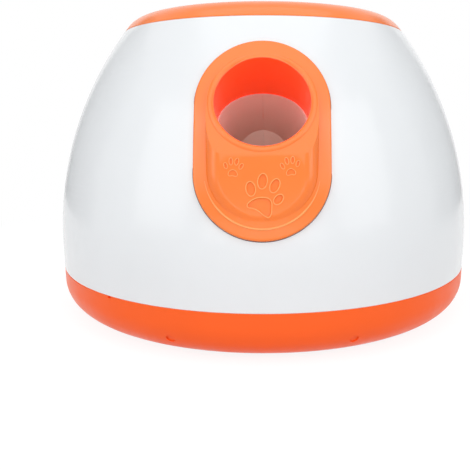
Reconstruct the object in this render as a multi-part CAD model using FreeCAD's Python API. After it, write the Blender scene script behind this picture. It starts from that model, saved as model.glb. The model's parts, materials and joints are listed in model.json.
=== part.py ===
import FreeCAD, Part
import math
import os

os.makedirs("parts", exist_ok=True)

# Automatic ball launcher: a domed housing with a feed funnel on top, a slanted barrel that opens at the
# front, a spring striker cocked by a geared motor, and six C cells in the base.
# Millimetres. Z is up, Z = 0 is the table, the vertical axis of the dome is X = Y = 0 and the outlet
# faces -Y.

V = FreeCAD.Vector
X = V(1, 0, 0)
Z = V(0, 0, 1)

# ---- housing ----
SHELL_R = 155.0        # widest radius of the housing
WALL = 2.5             # moulded wall
FOOT_H = 3.0           # how far the rubber feet hold the base off the table
BASE_BEND = 22.0       # radius between the flat underside and the base's side
SEAM_Z = 34.0          # base to dome seam
STRAIGHT = 16.5        # upright part of the dome above the seam
DOME_ARC = 246.0       # radius of the dome's side in section
TOP_SEAM_Z = 201.4     # dome to funnel seam
TOP_Z = 212.3          # crest of the funnel ring
RING_BEND = 22.0       # outer rounding of the funnel ring
RING_IN_BEND = 12.0    # inner rounding of the funnel ring
GAP = 0.3              # between parts that are only set together
EDGE = 0.45            # chamfer along the seams

# ---- barrel ----
BALL_R = 25.0          # the ball the launcher is made for
MOUTH_Y, MOUTH_Z = -136.0, 151.8   # centre of the outlet's rim
SLOPE = 28.0           # the barrel falls this many degrees towards the back
BORE_R = BALL_R + 1.4     # bore of the barrel and of the feed neck
SLEEVE_R = BALL_R + 2.0   # bore of the outlet's own sleeve, wider, so that the ball meets no step
SLEEVE_S, SLEEVE_LEAN = 26.55, 0.498   # the sleeve ends on the plane s = SLEEVE_S + SLEEVE_LEAN t
SLEEVE_GAP = 0.1       # from there to the barrel
SOCKET_Y0, SOCKET_Y1 = -99.5, -79.0    # collar of the barrel, around the sleeve's upper end
NECK_Y = -17.5         # centre of the upright feed neck
NECK_TOP_Z = 150.0

# ---- outlet bezel ----
BEZEL_TILT = 19.6      # the bezel's outline is drawn square to this upward direction
BEZEL_R = 38.6         # half its width
BEZEL_UP, BEZEL_LOW = -0.2, -39.2  # centres of its two round ends, measured up from the rim's centre
ISLAND_R = 31.3        # half width of the raised inner part
PANEL_TILT = 8.0       # lean of the flat panel under the rim
ISLAND_BEND = 8.4      # rounding of its edge
LIP_R = 2.0            # the rim is a half-round bead of this radius
LIP_SUNK = 1.2         # how far the bead is let into the island's upper face
FLANGE_UP = 2.2        # the flange stands this far off the dome
PAW_DEEP, TOE_DEEP = 0.7, 0.45      # the prints' walls slope at 45 degrees

# ---- striker and gear train ----
STROKE = 50.0
FACE_S = 165.0         # front of the striker's cup at rest
CUP_LONG = 30.0
CUP_R = BORE_R - 0.4
CAP_SPIGOT = 4.0       # how far the barrel's back cap reaches in
BARREL_END = FACE_S + CUP_LONG + STROKE + CAP_SPIGOT   # from the rim to the barrel's back end
RACK_MOD = 1.5
RACK_T = 39.0          # height of the rack's pitch line over the barrel's axis
SECTOR_Z = 24          # teeth the sector gear would have if it were whole
SECTOR_TEETH = 12
CAM_S = 210.0          # place of the cam gear's axle along the barrel
BIG_Z, FIRST_Z, PINION_Z = 48, 40, 10
MOD_1, MOD_2 = 1.0, 0.8
SHIFT = 0.45           # profile shift of the pinions, taken off their wheels
BACKLASH = 0.12        # taken off each tooth's thickness
TIP_CUT = 0.15         # taken off the pinions' tips, in modules, so that they aren't pointed
AXLE_R = 2.0
RUN = 0.05             # running clearance on the radius
SCREW_HOLE = 1.52      # hole that an M3 screw cuts its thread in
TAN20 = math.tan(math.radians(20))
ANGLE_2, ANGLE_1, ANGLE_M = 148.0, 228.0, 276.0   # directions from one axle to the next

# ---- batteries ----
CELL_R, CELL_LONG = 13.1, 50.0
CELL_PITCH = 27.5
CELL_ROWS_Y = tuple(-101.0 + CELL_PITCH * k for k in range(3))
CELL_Z = 20.8
CONTACT_X = 52.4       # face of the plates that the cells' caps touch
HINGE_Y, HINGE_Z = -26.5, 6.5      # battery door's hinge line

# ---- control panel at the back ----
PANEL_Z = 92.0
PANEL_HALF, PANEL_LONG = 20.0, 26.0   # end radius, and half the distance between the end centres
PANEL_BACK_Y = 143.5
BUTTON_X = 26.0
BUTTON_R = 8.5
BUTTON_TRAVEL = 1.5
BOARD_Y = 134.0        # component face of the button board
KEY_TOP = 4.0          # height of a key switch over that face

DOME_CX, DOME_CZ = SHELL_R - DOME_ARC, SEAM_Z + STRAIGHT
SEAT = FreeCAD.Placement(V(0, MOUTH_Y, MOUTH_Z), FreeCAD.Rotation(X, -SLOPE))
COIL_SIDES = 8         # arcs to a turn of a spring
PARTS = {}


def save(name, shape):
    """Write one node. A list of separate solids becomes one compound."""
    if isinstance(shape, (list, tuple)):
        shape = Part.makeCompound(list(shape))
    if not shape.isValid() or not shape.Solids:
        raise RuntimeError(name + " is not a valid solid")
    PARTS[name] = shape
    shape.exportStep("parts/" + name + ".step")
    print("%-18s solids %3d  volume %9.0f" % (name, len(shape.Solids), shape.Volume))


def seated(shape):
    """Barrel coordinates (x, along the barrel from the rim, up from its axis) to the housing's."""
    out = shape.copy()
    out.Placement = SEAT.multiply(out.Placement)
    return out


def box(x0, x1, y0, y1, z0, z1):
    return Part.makeBox(x1 - x0, y1 - y0, z1 - z0, V(x0, y0, z0))


def cyl(r, start, way, length):
    return Part.makeCylinder(r, length, V(*start), V(*way))


def xcyl(r, x0, x1, y, z):
    return cyl(r, (x0, y, z), (1, 0, 0), x1 - x0)


def prism(points, way):
    """Closed polygon through the points, pulled along way."""
    return Part.Face(Part.makePolygon([V(*p) for p in points] + [V(*points[0])])).extrude(V(*way))


def turned(points, arcs=()):
    """Solid of revolution about Z from a closed (r, z) outline. arcs: a segment's index to its middle."""
    arcs = dict(arcs)
    edges = []
    for i, a in enumerate(points):
        b = points[(i + 1) % len(points)]
        pa, pb = V(a[0], 0, a[1]), V(b[0], 0, b[1])
        if i in arcs:
            mid = arcs[i]
            edges.append(Part.Arc(pa, V(mid[0], 0, mid[1]), pb).toShape())
        else:
            edges.append(Part.makeLine(pa, pb))
    return Part.Face(Part.Wire(edges)).revolve(V(0, 0, 0), Z, 360)


def dome_r(z, off=0.0):
    """Outside radius of the dome at height z, off millimetres further out."""
    if z <= DOME_CZ:
        return SHELL_R + off
    return DOME_CX + math.sqrt((DOME_ARC + off) ** 2 - (z - DOME_CZ) ** 2)


def dome_body(off, low=SEAM_Z, high=TOP_SEAM_Z):
    """The dome as a full body, its surface moved off millimetres outwards."""
    mid = 0.5 * (DOME_CZ + high)
    return turned([(0, low), (dome_r(low, off), low), (dome_r(DOME_CZ, off), DOME_CZ),
                   (dome_r(high, off), high), (0, high)], {2: (dome_r(mid, off), mid)})


def stadium(radius, up, low, across, upward, out, centre, length):
    """Bar with two round ends: end centres at up and low along upward, pulled from centre along out."""
    def at(a, b):
        return centre + across * a + upward * b
    edges = [Part.Arc(at(radius, up), at(0, up + radius), at(-radius, up)).toShape(),
             Part.makeLine(at(-radius, up), at(-radius, low)),
             Part.Arc(at(-radius, low), at(0, low - radius), at(radius, low)).toShape(),
             Part.makeLine(at(radius, low), at(radius, up))]
    return Part.Face(Part.Wire(edges)).extrude(out * length)


def slab(point, normal, size=400.0):
    """Big block on the side of a plane that normal points to."""
    n = V(*normal).normalize()
    turn = FreeCAD.Rotation(Z, n)
    block = Part.makeBox(size, size, size, V(-size / 2, -size / 2, 0))
    block.Placement = FreeCAD.Placement(V(*point), turn)
    return block


def around(shape, angle):
    out = shape.copy()
    out.rotate(V(0, 0, 0), Z, angle)
    return out


def cord(points, radius, bend):
    """Round cord through the points, with a tangent arc at every corner."""
    pts = [V(*p) for p in points]
    edges, start = [], pts[0]
    for a, b, c in zip(pts, pts[1:], pts[2:]):
        u, w = (a - b).normalize(), (c - b).normalize()
        half = u.getAngle(w) / 2
        reach = bend / math.tan(half)
        p, q = b + u * reach, b + w * reach
        middle = (u + w).normalize()
        centre = b + middle * (bend / math.sin(half))
        edges.append(Part.makeLine(start, p))
        edges.append(Part.Arc(p, centre - middle * bend, q).toShape())
        start = q
    edges.append(Part.makeLine(start, pts[-1]))
    path = Part.Wire(edges)
    ring = Part.Wire(Part.makeCircle(radius, pts[0], pts[1] - pts[0]))
    return path.makePipeShell([ring], True, True)


def coil(mean_r, wire_r, length, turns):
    """Open coil spring along +Z from Z = 0, wound of short tangent arcs."""
    rise = (length - 2 * wire_r) / (turns * COIL_SIDES)
    corner_r = mean_r / math.cos(math.pi / COIL_SIDES)
    points = []
    for k in range(turns * COIL_SIDES + 1):
        a = 2 * math.pi * k / COIL_SIDES
        points.append((corner_r * math.cos(a), corner_r * math.sin(a), wire_r + rise * k))
    return cord(points, wire_r, 0.9 * mean_r)


def screw(start, way, head_r=2.8, head_h=2.0, shank_r=1.5, length=10.0):
    """Pan head screw. start is the underside of the head, way is the way it is driven."""
    d = V(*way).normalize()
    p = V(*start)
    head = Part.makeCylinder(head_r, head_h, p - d * head_h, d)
    slot = Part.makeBox(head_r * 1.3, 0.7, 1.0, V(-head_r * 0.65, -0.35, -0.01))
    cross = slot.fuse(Part.makeBox(0.7, head_r * 1.3, 1.0, V(-0.35, -head_r * 0.65, -0.01)))
    cross.Placement = FreeCAD.Placement(p - d * head_h, FreeCAD.Rotation(Z, d))
    return head.fuse(Part.makeCylinder(shank_r, length, p, d)).cut(cross).removeSplitter()


def gear(teeth, module, shift, first_angle, x0, x1, s, t, some=None):
    """Involute gear in the barrel's plane, with a tooth at first_angle degrees. some: teeth that are cut."""
    pitch_r = module * teeth / 2
    base_r = pitch_r * math.cos(math.radians(20))
    tip_r = module * (teeth / 2 + 1 + shift - (TIP_CUT if teeth == PINION_Z else 0))
    root_r = module * (teeth / 2 - 1.25 + shift)
    half = (math.pi / 2 + 2 * shift * TAN20) / teeth - BACKLASH / 2 / pitch_r

    def inv(r):
        a = math.acos(min(1.0, base_r / r))
        return math.tan(a) - a
    low_r = max(base_r, root_r)
    flank = [(r, half + inv(pitch_r) - inv(r))
             for r in [low_r + (tip_r - low_r) * k / 4 for k in range(5)]]
    pitch_angle = 2 * math.pi / teeth
    outline = []
    for k in range(teeth if some is None else some):
        middle = math.radians(first_angle) + (k if some is None else -k) * pitch_angle
        side = 1 if some is None else -1
        tooth = [(root_r, -flank[0][1])] + [(r, -a) for r, a in flank]
        tooth += [(r, a) for r, a in reversed(flank)] + [(root_r, flank[0][1])]
        if root_r >= low_r:
            tooth = tooth[1:-1]
        outline += [(r, middle + side * a) for r, a in tooth]
    if some is not None:
        start, stop = outline[0][1], outline[-1][1]
        steps = 16
        sweep = 2 * math.pi - abs(stop - start)
        outline += [(root_r, stop - sweep * k / steps) for k in range(1, steps)]
    points = [(x0, s + r * math.cos(a), t + r * math.sin(a)) for r, a in outline]
    return prism(points, (x1 - x0, 0, 0))


# ======================================================================================== base pan
base_cz = FOOT_H + BASE_BEND
flat_r = SHELL_R - BASE_BEND
root2 = math.sqrt(0.5)
base_out = turned([(0, FOOT_H), (flat_r, FOOT_H), (SHELL_R, base_cz), (SHELL_R, SEAM_Z - EDGE),
                   (SHELL_R - EDGE, SEAM_Z), (0, SEAM_Z)],
                  {1: (flat_r + BASE_BEND * root2, base_cz - BASE_BEND * root2)})
in_bend = BASE_BEND - WALL
base_in = turned([(0, FOOT_H + WALL), (flat_r, FOOT_H + WALL), (SHELL_R - WALL, base_cz),
                  (SHELL_R - WALL, SEAM_Z + 1), (0, SEAM_Z + 1)],
                 {1: (flat_r + in_bend * root2, base_cz - in_bend * root2)})
FLOOR_TOP = FOOT_H + WALL
TONGUE_R = SHELL_R - WALL - GAP
tongue = turned([(149.6, 27), (SHELL_R - WALL + 0.4, 27), (SHELL_R - WALL + 0.4, SEAM_Z),
                 (TONGUE_R, SEAM_Z), (TONGUE_R, 38), (149.6, 38)])
base = base_out.cut(base_in).fuse(tongue)

# case screws: driven square to the bend, up and inwards, into lugs that hang from the dome
CASE_ANGLES = (21.0, 90.0, 159.0, -21.0, -90.0, -159.0)
case_way = (math.cos(math.radians(30)), math.sin(math.radians(30)))
CASE_R, CASE_Z = flat_r + BASE_BEND * case_way[0], base_cz - BASE_BEND * case_way[1]


def case_point(depth, side=0.0):
    """Point on a case screw's line, depth in from the base's surface, before it is turned to its angle."""
    return (side, -(CASE_R - depth * case_way[0]), CASE_Z + depth * case_way[1])


case_in = (0, case_way[0], case_way[1])
boss = cyl(4.6, case_point(1.2), case_in, 4.6)
for a in CASE_ANGLES:
    base = base.fuse(around(boss, a))
for a in CASE_ANGLES:
    base = base.cut(around(cyl(2.9, case_point(-3), case_in, 6.4), a))
    base = base.cut(around(cyl(1.7, case_point(0), case_in, 12), a))

# battery compartment, open downwards
CELL_X = CELL_LONG + 5.0
BOX_Y0, BOX_Y1 = CELL_ROWS_Y[0] - CELL_R - 0.4, CELL_ROWS_Y[-1] + CELL_R + 0.4
BOX_TOP = CELL_Z + CELL_R + 0.5
compartment = box(-CELL_X - 2, CELL_X + 2, BOX_Y0 - 2, BOX_Y1 + 2, FLOOR_TOP - 0.5, BOX_TOP + 2)
inside = box(-CELL_X, CELL_X, BOX_Y0, BOX_Y1, FOOT_H - 1, BOX_TOP)
DOOR_GAP = 0.4
DOOR_Y0, DOOR_Y1 = BOX_Y0 + 0.6, HINGE_Y
KNUCKLE_R = HINGE_Z - FOOT_H
opening = box(-CELL_X + 0.6, CELL_X - 0.6, DOOR_Y0 - DOOR_GAP, HINGE_Y + KNUCKLE_R + DOOR_GAP,
              FOOT_H - 1, FLOOR_TOP + 0.5)
cheeks = [box(s * 54.0 - 3.4, s * 54.0 + 3.4, HINGE_Y - 3.5, HINGE_Y + 6.5, FLOOR_TOP - 0.5, HINGE_Z + 4.5)
          for s in (-1, 1)]
base = base.fuse(compartment).cut(inside).cut(opening)
base = base.cut(box(-CELL_X + 0.6, CELL_X - 0.6, BOX_Y1 - 0.1, BOX_Y1 + 2.1, FOOT_H - 1, FLOOR_TOP + 0.6))
for c in cheeks:
    base = base.fuse(c.cut(inside))
base = base.cut(xcyl(KNUCKLE_R + 0.4, -50.4, 50.4, HINGE_Y, HINGE_Z))
base = base.cut(xcyl(1.6 + RUN, -54.6, 54.6, HINGE_Y, HINGE_Z))
# blocks behind the contact plates
for y in CELL_ROWS_Y:
    base = base.fuse(box(CONTACT_X + 0.5, CELL_X + 0.5, y - 9, y + 9, CELL_Z - 9, CELL_Z + 9))
# ribs between the rows of cells
for y in (0.5 * (CELL_ROWS_Y[0] + CELL_ROWS_Y[1]), 0.5 * (CELL_ROWS_Y[1] + CELL_ROWS_Y[2])):
    base = base.fuse(box(-CELL_X - 1, CELL_X + 1, y - 0.5, y + 0.5, CELL_Z + 4, BOX_TOP + 1))

# posts that carry the barrel, the main board and the speaker
EAR_POSTS = ((40.0, 25.0, 64.7), (40.0, 66.0, 43.0))
for x, y, z in EAR_POSTS:
    for s in (-1, 1):
        base = base.fuse(cyl(4.2, (s * x, y, FLOOR_TOP - 0.5), (0, 0, 1), z - FLOOR_TOP + 0.5))
        for w in (0, 1):
            rib = (box(s * x - 0.9, s * x + 0.9, y - 9, y + 9, FLOOR_TOP - 0.5, FLOOR_TOP + 18) if w else
                   box(s * x - 9, s * x + 9, y - 0.9, y + 0.9, FLOOR_TOP - 0.5, FLOOR_TOP + 18))
            base = base.fuse(rib)
for x, y, z in EAR_POSTS:
    for s in (-1, 1):
        base = base.cut(cyl(SCREW_HOLE, (s * x, y, z - 14), (0, 0, 1), 15))
BOARD_X0, BOARD_X1, BOARD_Y0, BOARD_Y1, BOARD_Z = -124.0, -62.0, -12.0, 58.0, 14.0
BOARD_HOLES = [(x, y) for x in (BOARD_X0 + 4, BOARD_X1 - 4) for y in (BOARD_Y0 + 4, BOARD_Y1 - 4)]
for x, y in BOARD_HOLES:
    base = base.fuse(cyl(3.2, (x, y, FLOOR_TOP - 0.5), (0, 0, 1), BOARD_Z - FLOOR_TOP + 0.5))
for x, y in BOARD_HOLES:
    base = base.cut(cyl(1.1, (x, y, BOARD_Z - 7), (0, 0, 1), 8))
SPEAKER = (88.0, 42.0)
SPEAKER_R = 25.0
base = base.fuse(cyl(SPEAKER_R + 2.2, (*SPEAKER, FLOOR_TOP - 0.5), (0, 0, 1), 7.5).cut(
    cyl(SPEAKER_R + 0.2, (*SPEAKER, FLOOR_TOP - 0.6), (0, 0, 1), 8)))
for ring_r, count in ((0.0, 1), (6.5, 6), (13.0, 12), (19.0, 18)):
    for k in range(count):
        a = 2 * math.pi * k / count
        base = base.cut(cyl(1.5, (SPEAKER[0] + ring_r * math.cos(a), SPEAKER[1] + ring_r * math.sin(a),
                                  FOOT_H - 1), (0, 0, 1), 4))
FEET = [(s * 84.0, w * 84.0) for s in (-1, 1) for w in (-1, 1)]
for x, y in FEET:
    base = base.cut(cyl(9.2, (x, y, FOOT_H - 1), (0, 0, 1), 2.2))
# pry notch in the rim
base = base.cut(around(box(-1.6, 1.6, -SHELL_R - 1, -SHELL_R + 1.4, SEAM_Z - 1.3, SEAM_Z + 0.001), -37.7))
save("base_pan", base.removeSplitter())

# ============================================================================================ dome
dome = dome_body(0, SEAM_Z + EDGE, TOP_SEAM_Z - EDGE)
for z, way in ((SEAM_Z + EDGE, -1), (TOP_SEAM_Z - EDGE, 1)):
    dome = dome.fuse(Part.makeCone(dome_r(z), dome_r(z + way * EDGE) - EDGE, EDGE, V(0, 0, z), Z * way))
dome = dome.cut(dome_body(-WALL, SEAM_Z - 1, TOP_SEAM_Z + 1))
lug = prism([(-5, -p[0], p[1]) for p in ((144.0, 12.6), (149.0, 21.2), (149.0, 38.7), (152.8, 44.0),
             (152.8, 60.0), (148.0, 60.0), (136.0, 42.0), (136.0, 22.0))], (10, 0, 0))
for a in CASE_ANGLES:
    dome = dome.fuse(around(lug, a))
TAB_ANGLES = (45.0, 135.0, -45.0, -135.0)
tab = box(-5, 5, -108, -86, 191.5, 194.0).common(dome_body(-1.0, SEAM_Z, TOP_SEAM_Z))
for a in TAB_ANGLES:
    dome = dome.fuse(around(tab, a))
for a in CASE_ANGLES:
    dome = dome.cut(around(cyl(1.3, case_point(5), case_in, 12), a))
for a in TAB_ANGLES:
    dome = dome.cut(around(cyl(1.7, (0, -91, 190), (0, 0, 1), 6), a))

# outlet opening
mouth = V(0, MOUTH_Y, MOUTH_Z)
tilt = math.radians(BEZEL_TILT)
OUT = V(0, -math.cos(tilt), math.sin(tilt))
RISE = V(0, math.sin(tilt), math.cos(tilt))


def bezel_bar(radius, back=-40.0, front=40.0):
    return stadium(radius, BEZEL_UP, BEZEL_LOW, X, RISE, OUT, mouth + OUT * back, front - back)


dome = dome.cut(bezel_bar(BEZEL_R - 2.0))

# back panel opening, DC inlet hole
def panel_bar(radius, y0, y1):
    return stadium(radius, PANEL_LONG, -PANEL_LONG, Z * -1, X, V(0, 1, 0), V(0, y0, PANEL_Z), y1 - y0)


dome = dome.cut(panel_bar(PANEL_HALF - 2.0, 120, 170))
JACK_Z = 47.0
JACK_R = 5.4
dome = dome.cut(cyl(JACK_R + 0.15, (0, 140, JACK_Z), (0, 1, 0), 20))
save("dome_shell", dome.removeSplitter())

# ============================================================================================ feed funnel
lean = math.atan2(TOP_SEAM_Z - DOME_CZ, dome_r(TOP_SEAM_Z) - DOME_CX)
seam_r = dome_r(TOP_SEAM_Z)
drop = TOP_Z - RING_BEND + RING_BEND * math.sin(lean) - TOP_SEAM_Z
bend_r = seam_r - drop * math.tan(lean)
crest_r = bend_r - RING_BEND * math.cos(lean)
ring_cz, in_cz = TOP_Z - RING_BEND, TOP_Z - RING_IN_BEND
half_lean = 0.5 * (lean + math.pi / 2)
ib, ob = RING_IN_BEND - WALL, RING_BEND - WALL
spig_r = seam_r - 6.1
under_z = ring_cz + math.sqrt(ob ** 2 - (spig_r - crest_r) ** 2)
half_under = 0.5 * (math.acos((spig_r - crest_r) / ob) + math.pi / 2)
c3, s3 = math.cos(math.radians(112.5)), math.sin(math.radians(112.5))
ring_pts = [(seam_r - EDGE * math.tan(lean), TOP_SEAM_Z + EDGE), (bend_r, TOP_SEAM_Z + drop),
            (crest_r, TOP_Z), (crest_r - RING_IN_BEND * root2, in_cz + RING_IN_BEND * root2),
            (crest_r - ib * root2, in_cz + ib * root2), (crest_r, in_cz + ib), (spig_r, under_z),
            (spig_r, 195.0), (seam_r - 3.7, 195.0), (seam_r - 3.7, TOP_SEAM_Z), (seam_r - EDGE, TOP_SEAM_Z)]
ring = turned(ring_pts, {
    1: (crest_r + RING_BEND * math.cos(half_lean), ring_cz + RING_BEND * math.sin(half_lean)),
    2: (crest_r + RING_IN_BEND * c3, in_cz + RING_IN_BEND * s3),
    4: (crest_r + ib * c3, in_cz + ib * s3),
    5: (crest_r + ob * math.cos(half_under), ring_cz + ob * math.sin(half_under))})
cone_top_z = ring_pts[3][1]


def oblique(r_top, r_low):
    top = Part.Wire(Part.makeCircle(r_top, V(0, 0, cone_top_z)))
    low = Part.Wire(Part.makeCircle(r_low, V(0, NECK_Y, NECK_TOP_Z + 2)))
    return Part.makeLoft([low, top], True, True)


cone_out, cone_in = oblique(ring_pts[3][0] + 3.4, BORE_R + WALL), oblique(ring_pts[3][0], BORE_R)
collar_out = BORE_R + WALL + GAP + WALL
collar = cyl(collar_out, (0, NECK_Y, NECK_TOP_Z - 9), (0, 0, 1), 13)
posts = [around(cyl(3.6, (0, -91, 194.0), (0, 0, 1), 15.4), a) for a in TAB_ANGLES]
funnel = ring.fuse(cone_out).fuse(collar)
for p in posts:
    funnel = funnel.fuse(p)
funnel = funnel.cut(cone_in).cut(cyl(BORE_R, (0, NECK_Y, NECK_TOP_Z - 12), (0, 0, 1), 15))
funnel = funnel.cut(cyl(BORE_R + WALL + GAP, (0, NECK_Y, NECK_TOP_Z - 12), (0, 0, 1), 12))
for a in TAB_ANGLES:
    funnel = funnel.cut(around(cyl(SCREW_HOLE, (0, -91, 193), (0, 0, 1), 11), a))
save("feed_funnel", funnel.removeSplitter())

# ============================================================================================ outlet bezel
s0, c0 = math.sin(math.radians(SLOPE)), math.cos(math.radians(SLOPE))
ALONG, OVER = V(0, c0, -s0), V(0, s0, c0)


def at(s, t, x=0.0):
    return mouth + ALONG * s + OVER * t + X * x


pt = math.radians(PANEL_TILT)
PANEL_N = V(0, -math.cos(pt), math.sin(pt))
PANEL_UP = V(0, math.sin(pt), math.cos(pt))
BEAD_R = SLEEVE_R + LIP_R + 0.1
PANEL_O = at(LIP_R, -BEAD_R) + PANEL_N * (LIP_R - 0.03)

island = bezel_bar(ISLAND_R).cut(slab(PANEL_O, PANEL_N))
top_face = max((f for f in island.Faces if f.normalAt(0, 0).dot(PANEL_N) > 0.999), key=lambda f: f.Area)
island = island.makeFillet(ISLAND_BEND, top_face.Edges)
island = island.cut(slab(at(LIP_R - LIP_SUNK, 0), ALONG * -1))
skin = dome_body(FLANGE_UP, 60, TOP_SEAM_Z)
flange = skin.common(bezel_bar(BEZEL_R)).cut(dome_body(0.12, 50, TOP_SEAM_Z + 1))
rim_edges = [e for e in flange.Edges if e.CenterOfMass.Length > 0 and
             min(math.hypot(v.X, v.Y) - dome_r(v.Z) for v in e.Vertexes) > FLANGE_UP - 0.05]
try:
    flange = flange.makeFillet(1.4, rim_edges)
except Exception as why:
    print("flange stays square:", why)
plug = skin.common(bezel_bar(BEZEL_R - 2.3)).cut(dome_body(-7.0, 50, TOP_SEAM_Z + 1))
island = island.cut(dome_body(-7.0, 50, TOP_SEAM_Z + 1))
bead = Part.makeTorus(BEAD_R, LIP_R, at(LIP_R, 0), ALONG)


def past_sleeve(more=0.0):
    """Block on the barrel's side of the plane where the sleeve ends, more millimetres further in."""
    way = (ALONG - OVER * SLEEVE_LEAN).normalize()
    return slab(at(SLEEVE_S, 0) + way * more, way)


sleeve = Part.makeCylinder(SLEEVE_R + WALL, 110, at(LIP_R, 0), ALONG)
beyond = sleeve.common(past_sleeve())
sleeve = sleeve.cut(beyond)
bezel = plug.fuse(flange).fuse(island).fuse(sleeve).fuse(bead)
hollow = bezel_bar(BEZEL_R - 4.8).common(dome_body(-0.5, 50, TOP_SEAM_Z + 1))
behind = bezel_bar(ISLAND_R - 2.6).cut(slab(PANEL_O - PANEL_N * 3.0, PANEL_N))
behind = behind.cut(slab(at(5.2, 0), ALONG * -1))
hollow = hollow.fuse(behind).cut(Part.makeCylinder(SLEEVE_R + WALL, 150, at(-30, 0), ALONG))
bezel = bezel.cut(hollow).cut(beyond)
bezel = bezel.cut(Part.makeCylinder(SLEEVE_R, 190, at(-60, 0), ALONG))
# screw posts behind the panel
POST_X, POST_U = 17.0, -44.0
POST_BACK = -34.0
for sx in (-1, 1):
    start = mouth + RISE * POST_U + X * (sx * POST_X) + OUT * POST_BACK
    post = Part.makeCylinder(3.6, 60, start, OUT).cut(slab(PANEL_O - PANEL_N * 1.5, PANEL_N))
    bezel = bezel.fuse(post)
for sx in (-1, 1):
    start = mouth + RISE * POST_U + X * (sx * POST_X) + OUT * (POST_BACK - 1)
    bezel = bezel.cut(Part.makeCylinder(SCREW_HOLE, 14, start, OUT))


def on_panel(x, v):
    return PANEL_O + X * x + PANEL_UP * v


def print_of(outline, deep):
    """Pocket in the panel from a closed outline of (x, v) points, narrowing as it goes in."""
    mx, mv = (sum(p[i] for p in outline) / len(outline) for i in (0, 1))
    rings = []
    for lift in (0.5, -deep):
        pts = []
        for x, v in outline:
            grow = 1 + lift / math.hypot(x - mx, v - mv)
            pts.append(on_panel(mx + (x - mx) * grow, mv + (v - mv) * grow) + PANEL_N * lift)
        curve = Part.BSplineCurve()
        curve.interpolate(pts, PeriodicFlag=True)
        rings.append(Part.Wire(curve.toShape()))
    return Part.makeLoft(rings, True, True)


def toe(x, v, wide, tall, lean_deg, deep):
    a = math.radians(lean_deg)
    pts = []
    for k in range(12):
        q = 2 * math.pi * k / 12
        px, pv = wide / 2 * math.cos(q), tall / 2 * math.sin(q)
        pts.append((x + px * math.cos(a) + pv * math.sin(a), v - px * math.sin(a) + pv * math.cos(a)))
    return print_of(pts, deep)


def smooth(points, cut=0.28):
    """Round a polygon's corners by cutting them twice."""
    for _ in range(2):
        nxt = []
        for i, a in enumerate(points):
            b = points[(i + 1) % len(points)]
            nxt += [(a[0] + (b[0] - a[0]) * cut, a[1] + (b[1] - a[1]) * cut),
                    (a[0] + (b[0] - a[0]) * (1 - cut), a[1] + (b[1] - a[1]) * (1 - cut))]
        points = nxt
    return points


PAD = ((-9.4, -31.0), (-5.6, -26.4), (0.2, -25.2), (5.2, -26.4), (5.4, -31.6), (4.6, -36.6),
       (1.6, -36.2), (-3.0, -31.6))
TOES = ((-6.2, -20.9, 5.2, 8.0, -8), (0.2, -16.8, 5.2, 8.4, 8), (6.9, -19.2, 5.0, 8.0, 24),
        (8.9, -26.6, 4.4, 6.4, 40))
SMALL_TOES = ((-4.2, 0.4, 1.9, 3.4, -24), (-1.6, 2.9, 2.0, 3.8, -8), (1.6, 3.1, 2.0, 3.8, 8),
              (4.2, 0.9, 1.9, 3.4, 24))
SMALL_PAD = ((-2.6, -3.4), (-1.0, -1.4), (1.0, -1.4), (2.8, -3.2), (2.2, -5.2), (0.2, -4.4), (-2.0, -5.2))
pockets = [print_of(smooth(PAD), PAW_DEEP)] + [toe(*p, PAW_DEEP) for p in TOES]
for cx, cv, turn in ((-15.6, -9.2, 6), (15.2, -8.6, -6)):
    q = math.radians(turn)
    def swing(x, v):
        return (cx + x * math.cos(q) + v * math.sin(q), cv - x * math.sin(q) + v * math.cos(q))
    pockets.append(print_of(smooth([swing(*p) for p in SMALL_PAD]), TOE_DEEP))
    for x, v, wide, tall, lean_deg in SMALL_TOES:
        pockets.append(toe(*swing(x, v), wide, tall, lean_deg + turn, TOE_DEEP))
for p in pockets:
    bezel = bezel.cut(p)
save("outlet_bezel", bezel.removeSplitter())

# clamp bar that draws the bezel onto the dome
bar_mid = mouth + RISE * POST_U + OUT * (POST_BACK - GAP)
bar = stadium(5.5, 40.0, -40.0, RISE, X, OUT, bar_mid - OUT * 4.0, 4.0)
for sx in (-1, 1):
    bar = bar.cut(Part.makeCylinder(1.7, 8, bar_mid + X * (sx * POST_X) - OUT * 6, OUT))
save("outlet_clamp", bar.cut(bar.cut(dome_body(-WALL - GAP, 50, 190))).removeSplitter())
save("outlet_screws", [screw(bar_mid - OUT * 4.0 + X * (sx * POST_X), OUT, length=12) for sx in (-1, 1)])

# ============================================================================================ barrel
BARREL_R = BORE_R + WALL
CAP_X = 32.5
over_axis = slab(at(0, 0), OVER)
tube = seated(cyl(BARREL_R, (0, 5, 0), (0, 1, 0), BARREL_END - 5)).common(past_sleeve(SLEEVE_GAP))
socket_r = SLEEVE_R + WALL + GAP
tube = tube.fuse(seated(cyl(socket_r + WALL, (0, 10, 0), (0, 1, 0), 110)).common(
    box(-50, 50, SOCKET_Y0, SOCKET_Y1, 0, 260)))
tube = tube.fuse(cyl(BORE_R + WALL, (0, NECK_Y, 40), (0, 0, 1), NECK_TOP_Z - 40).common(over_axis))

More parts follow.
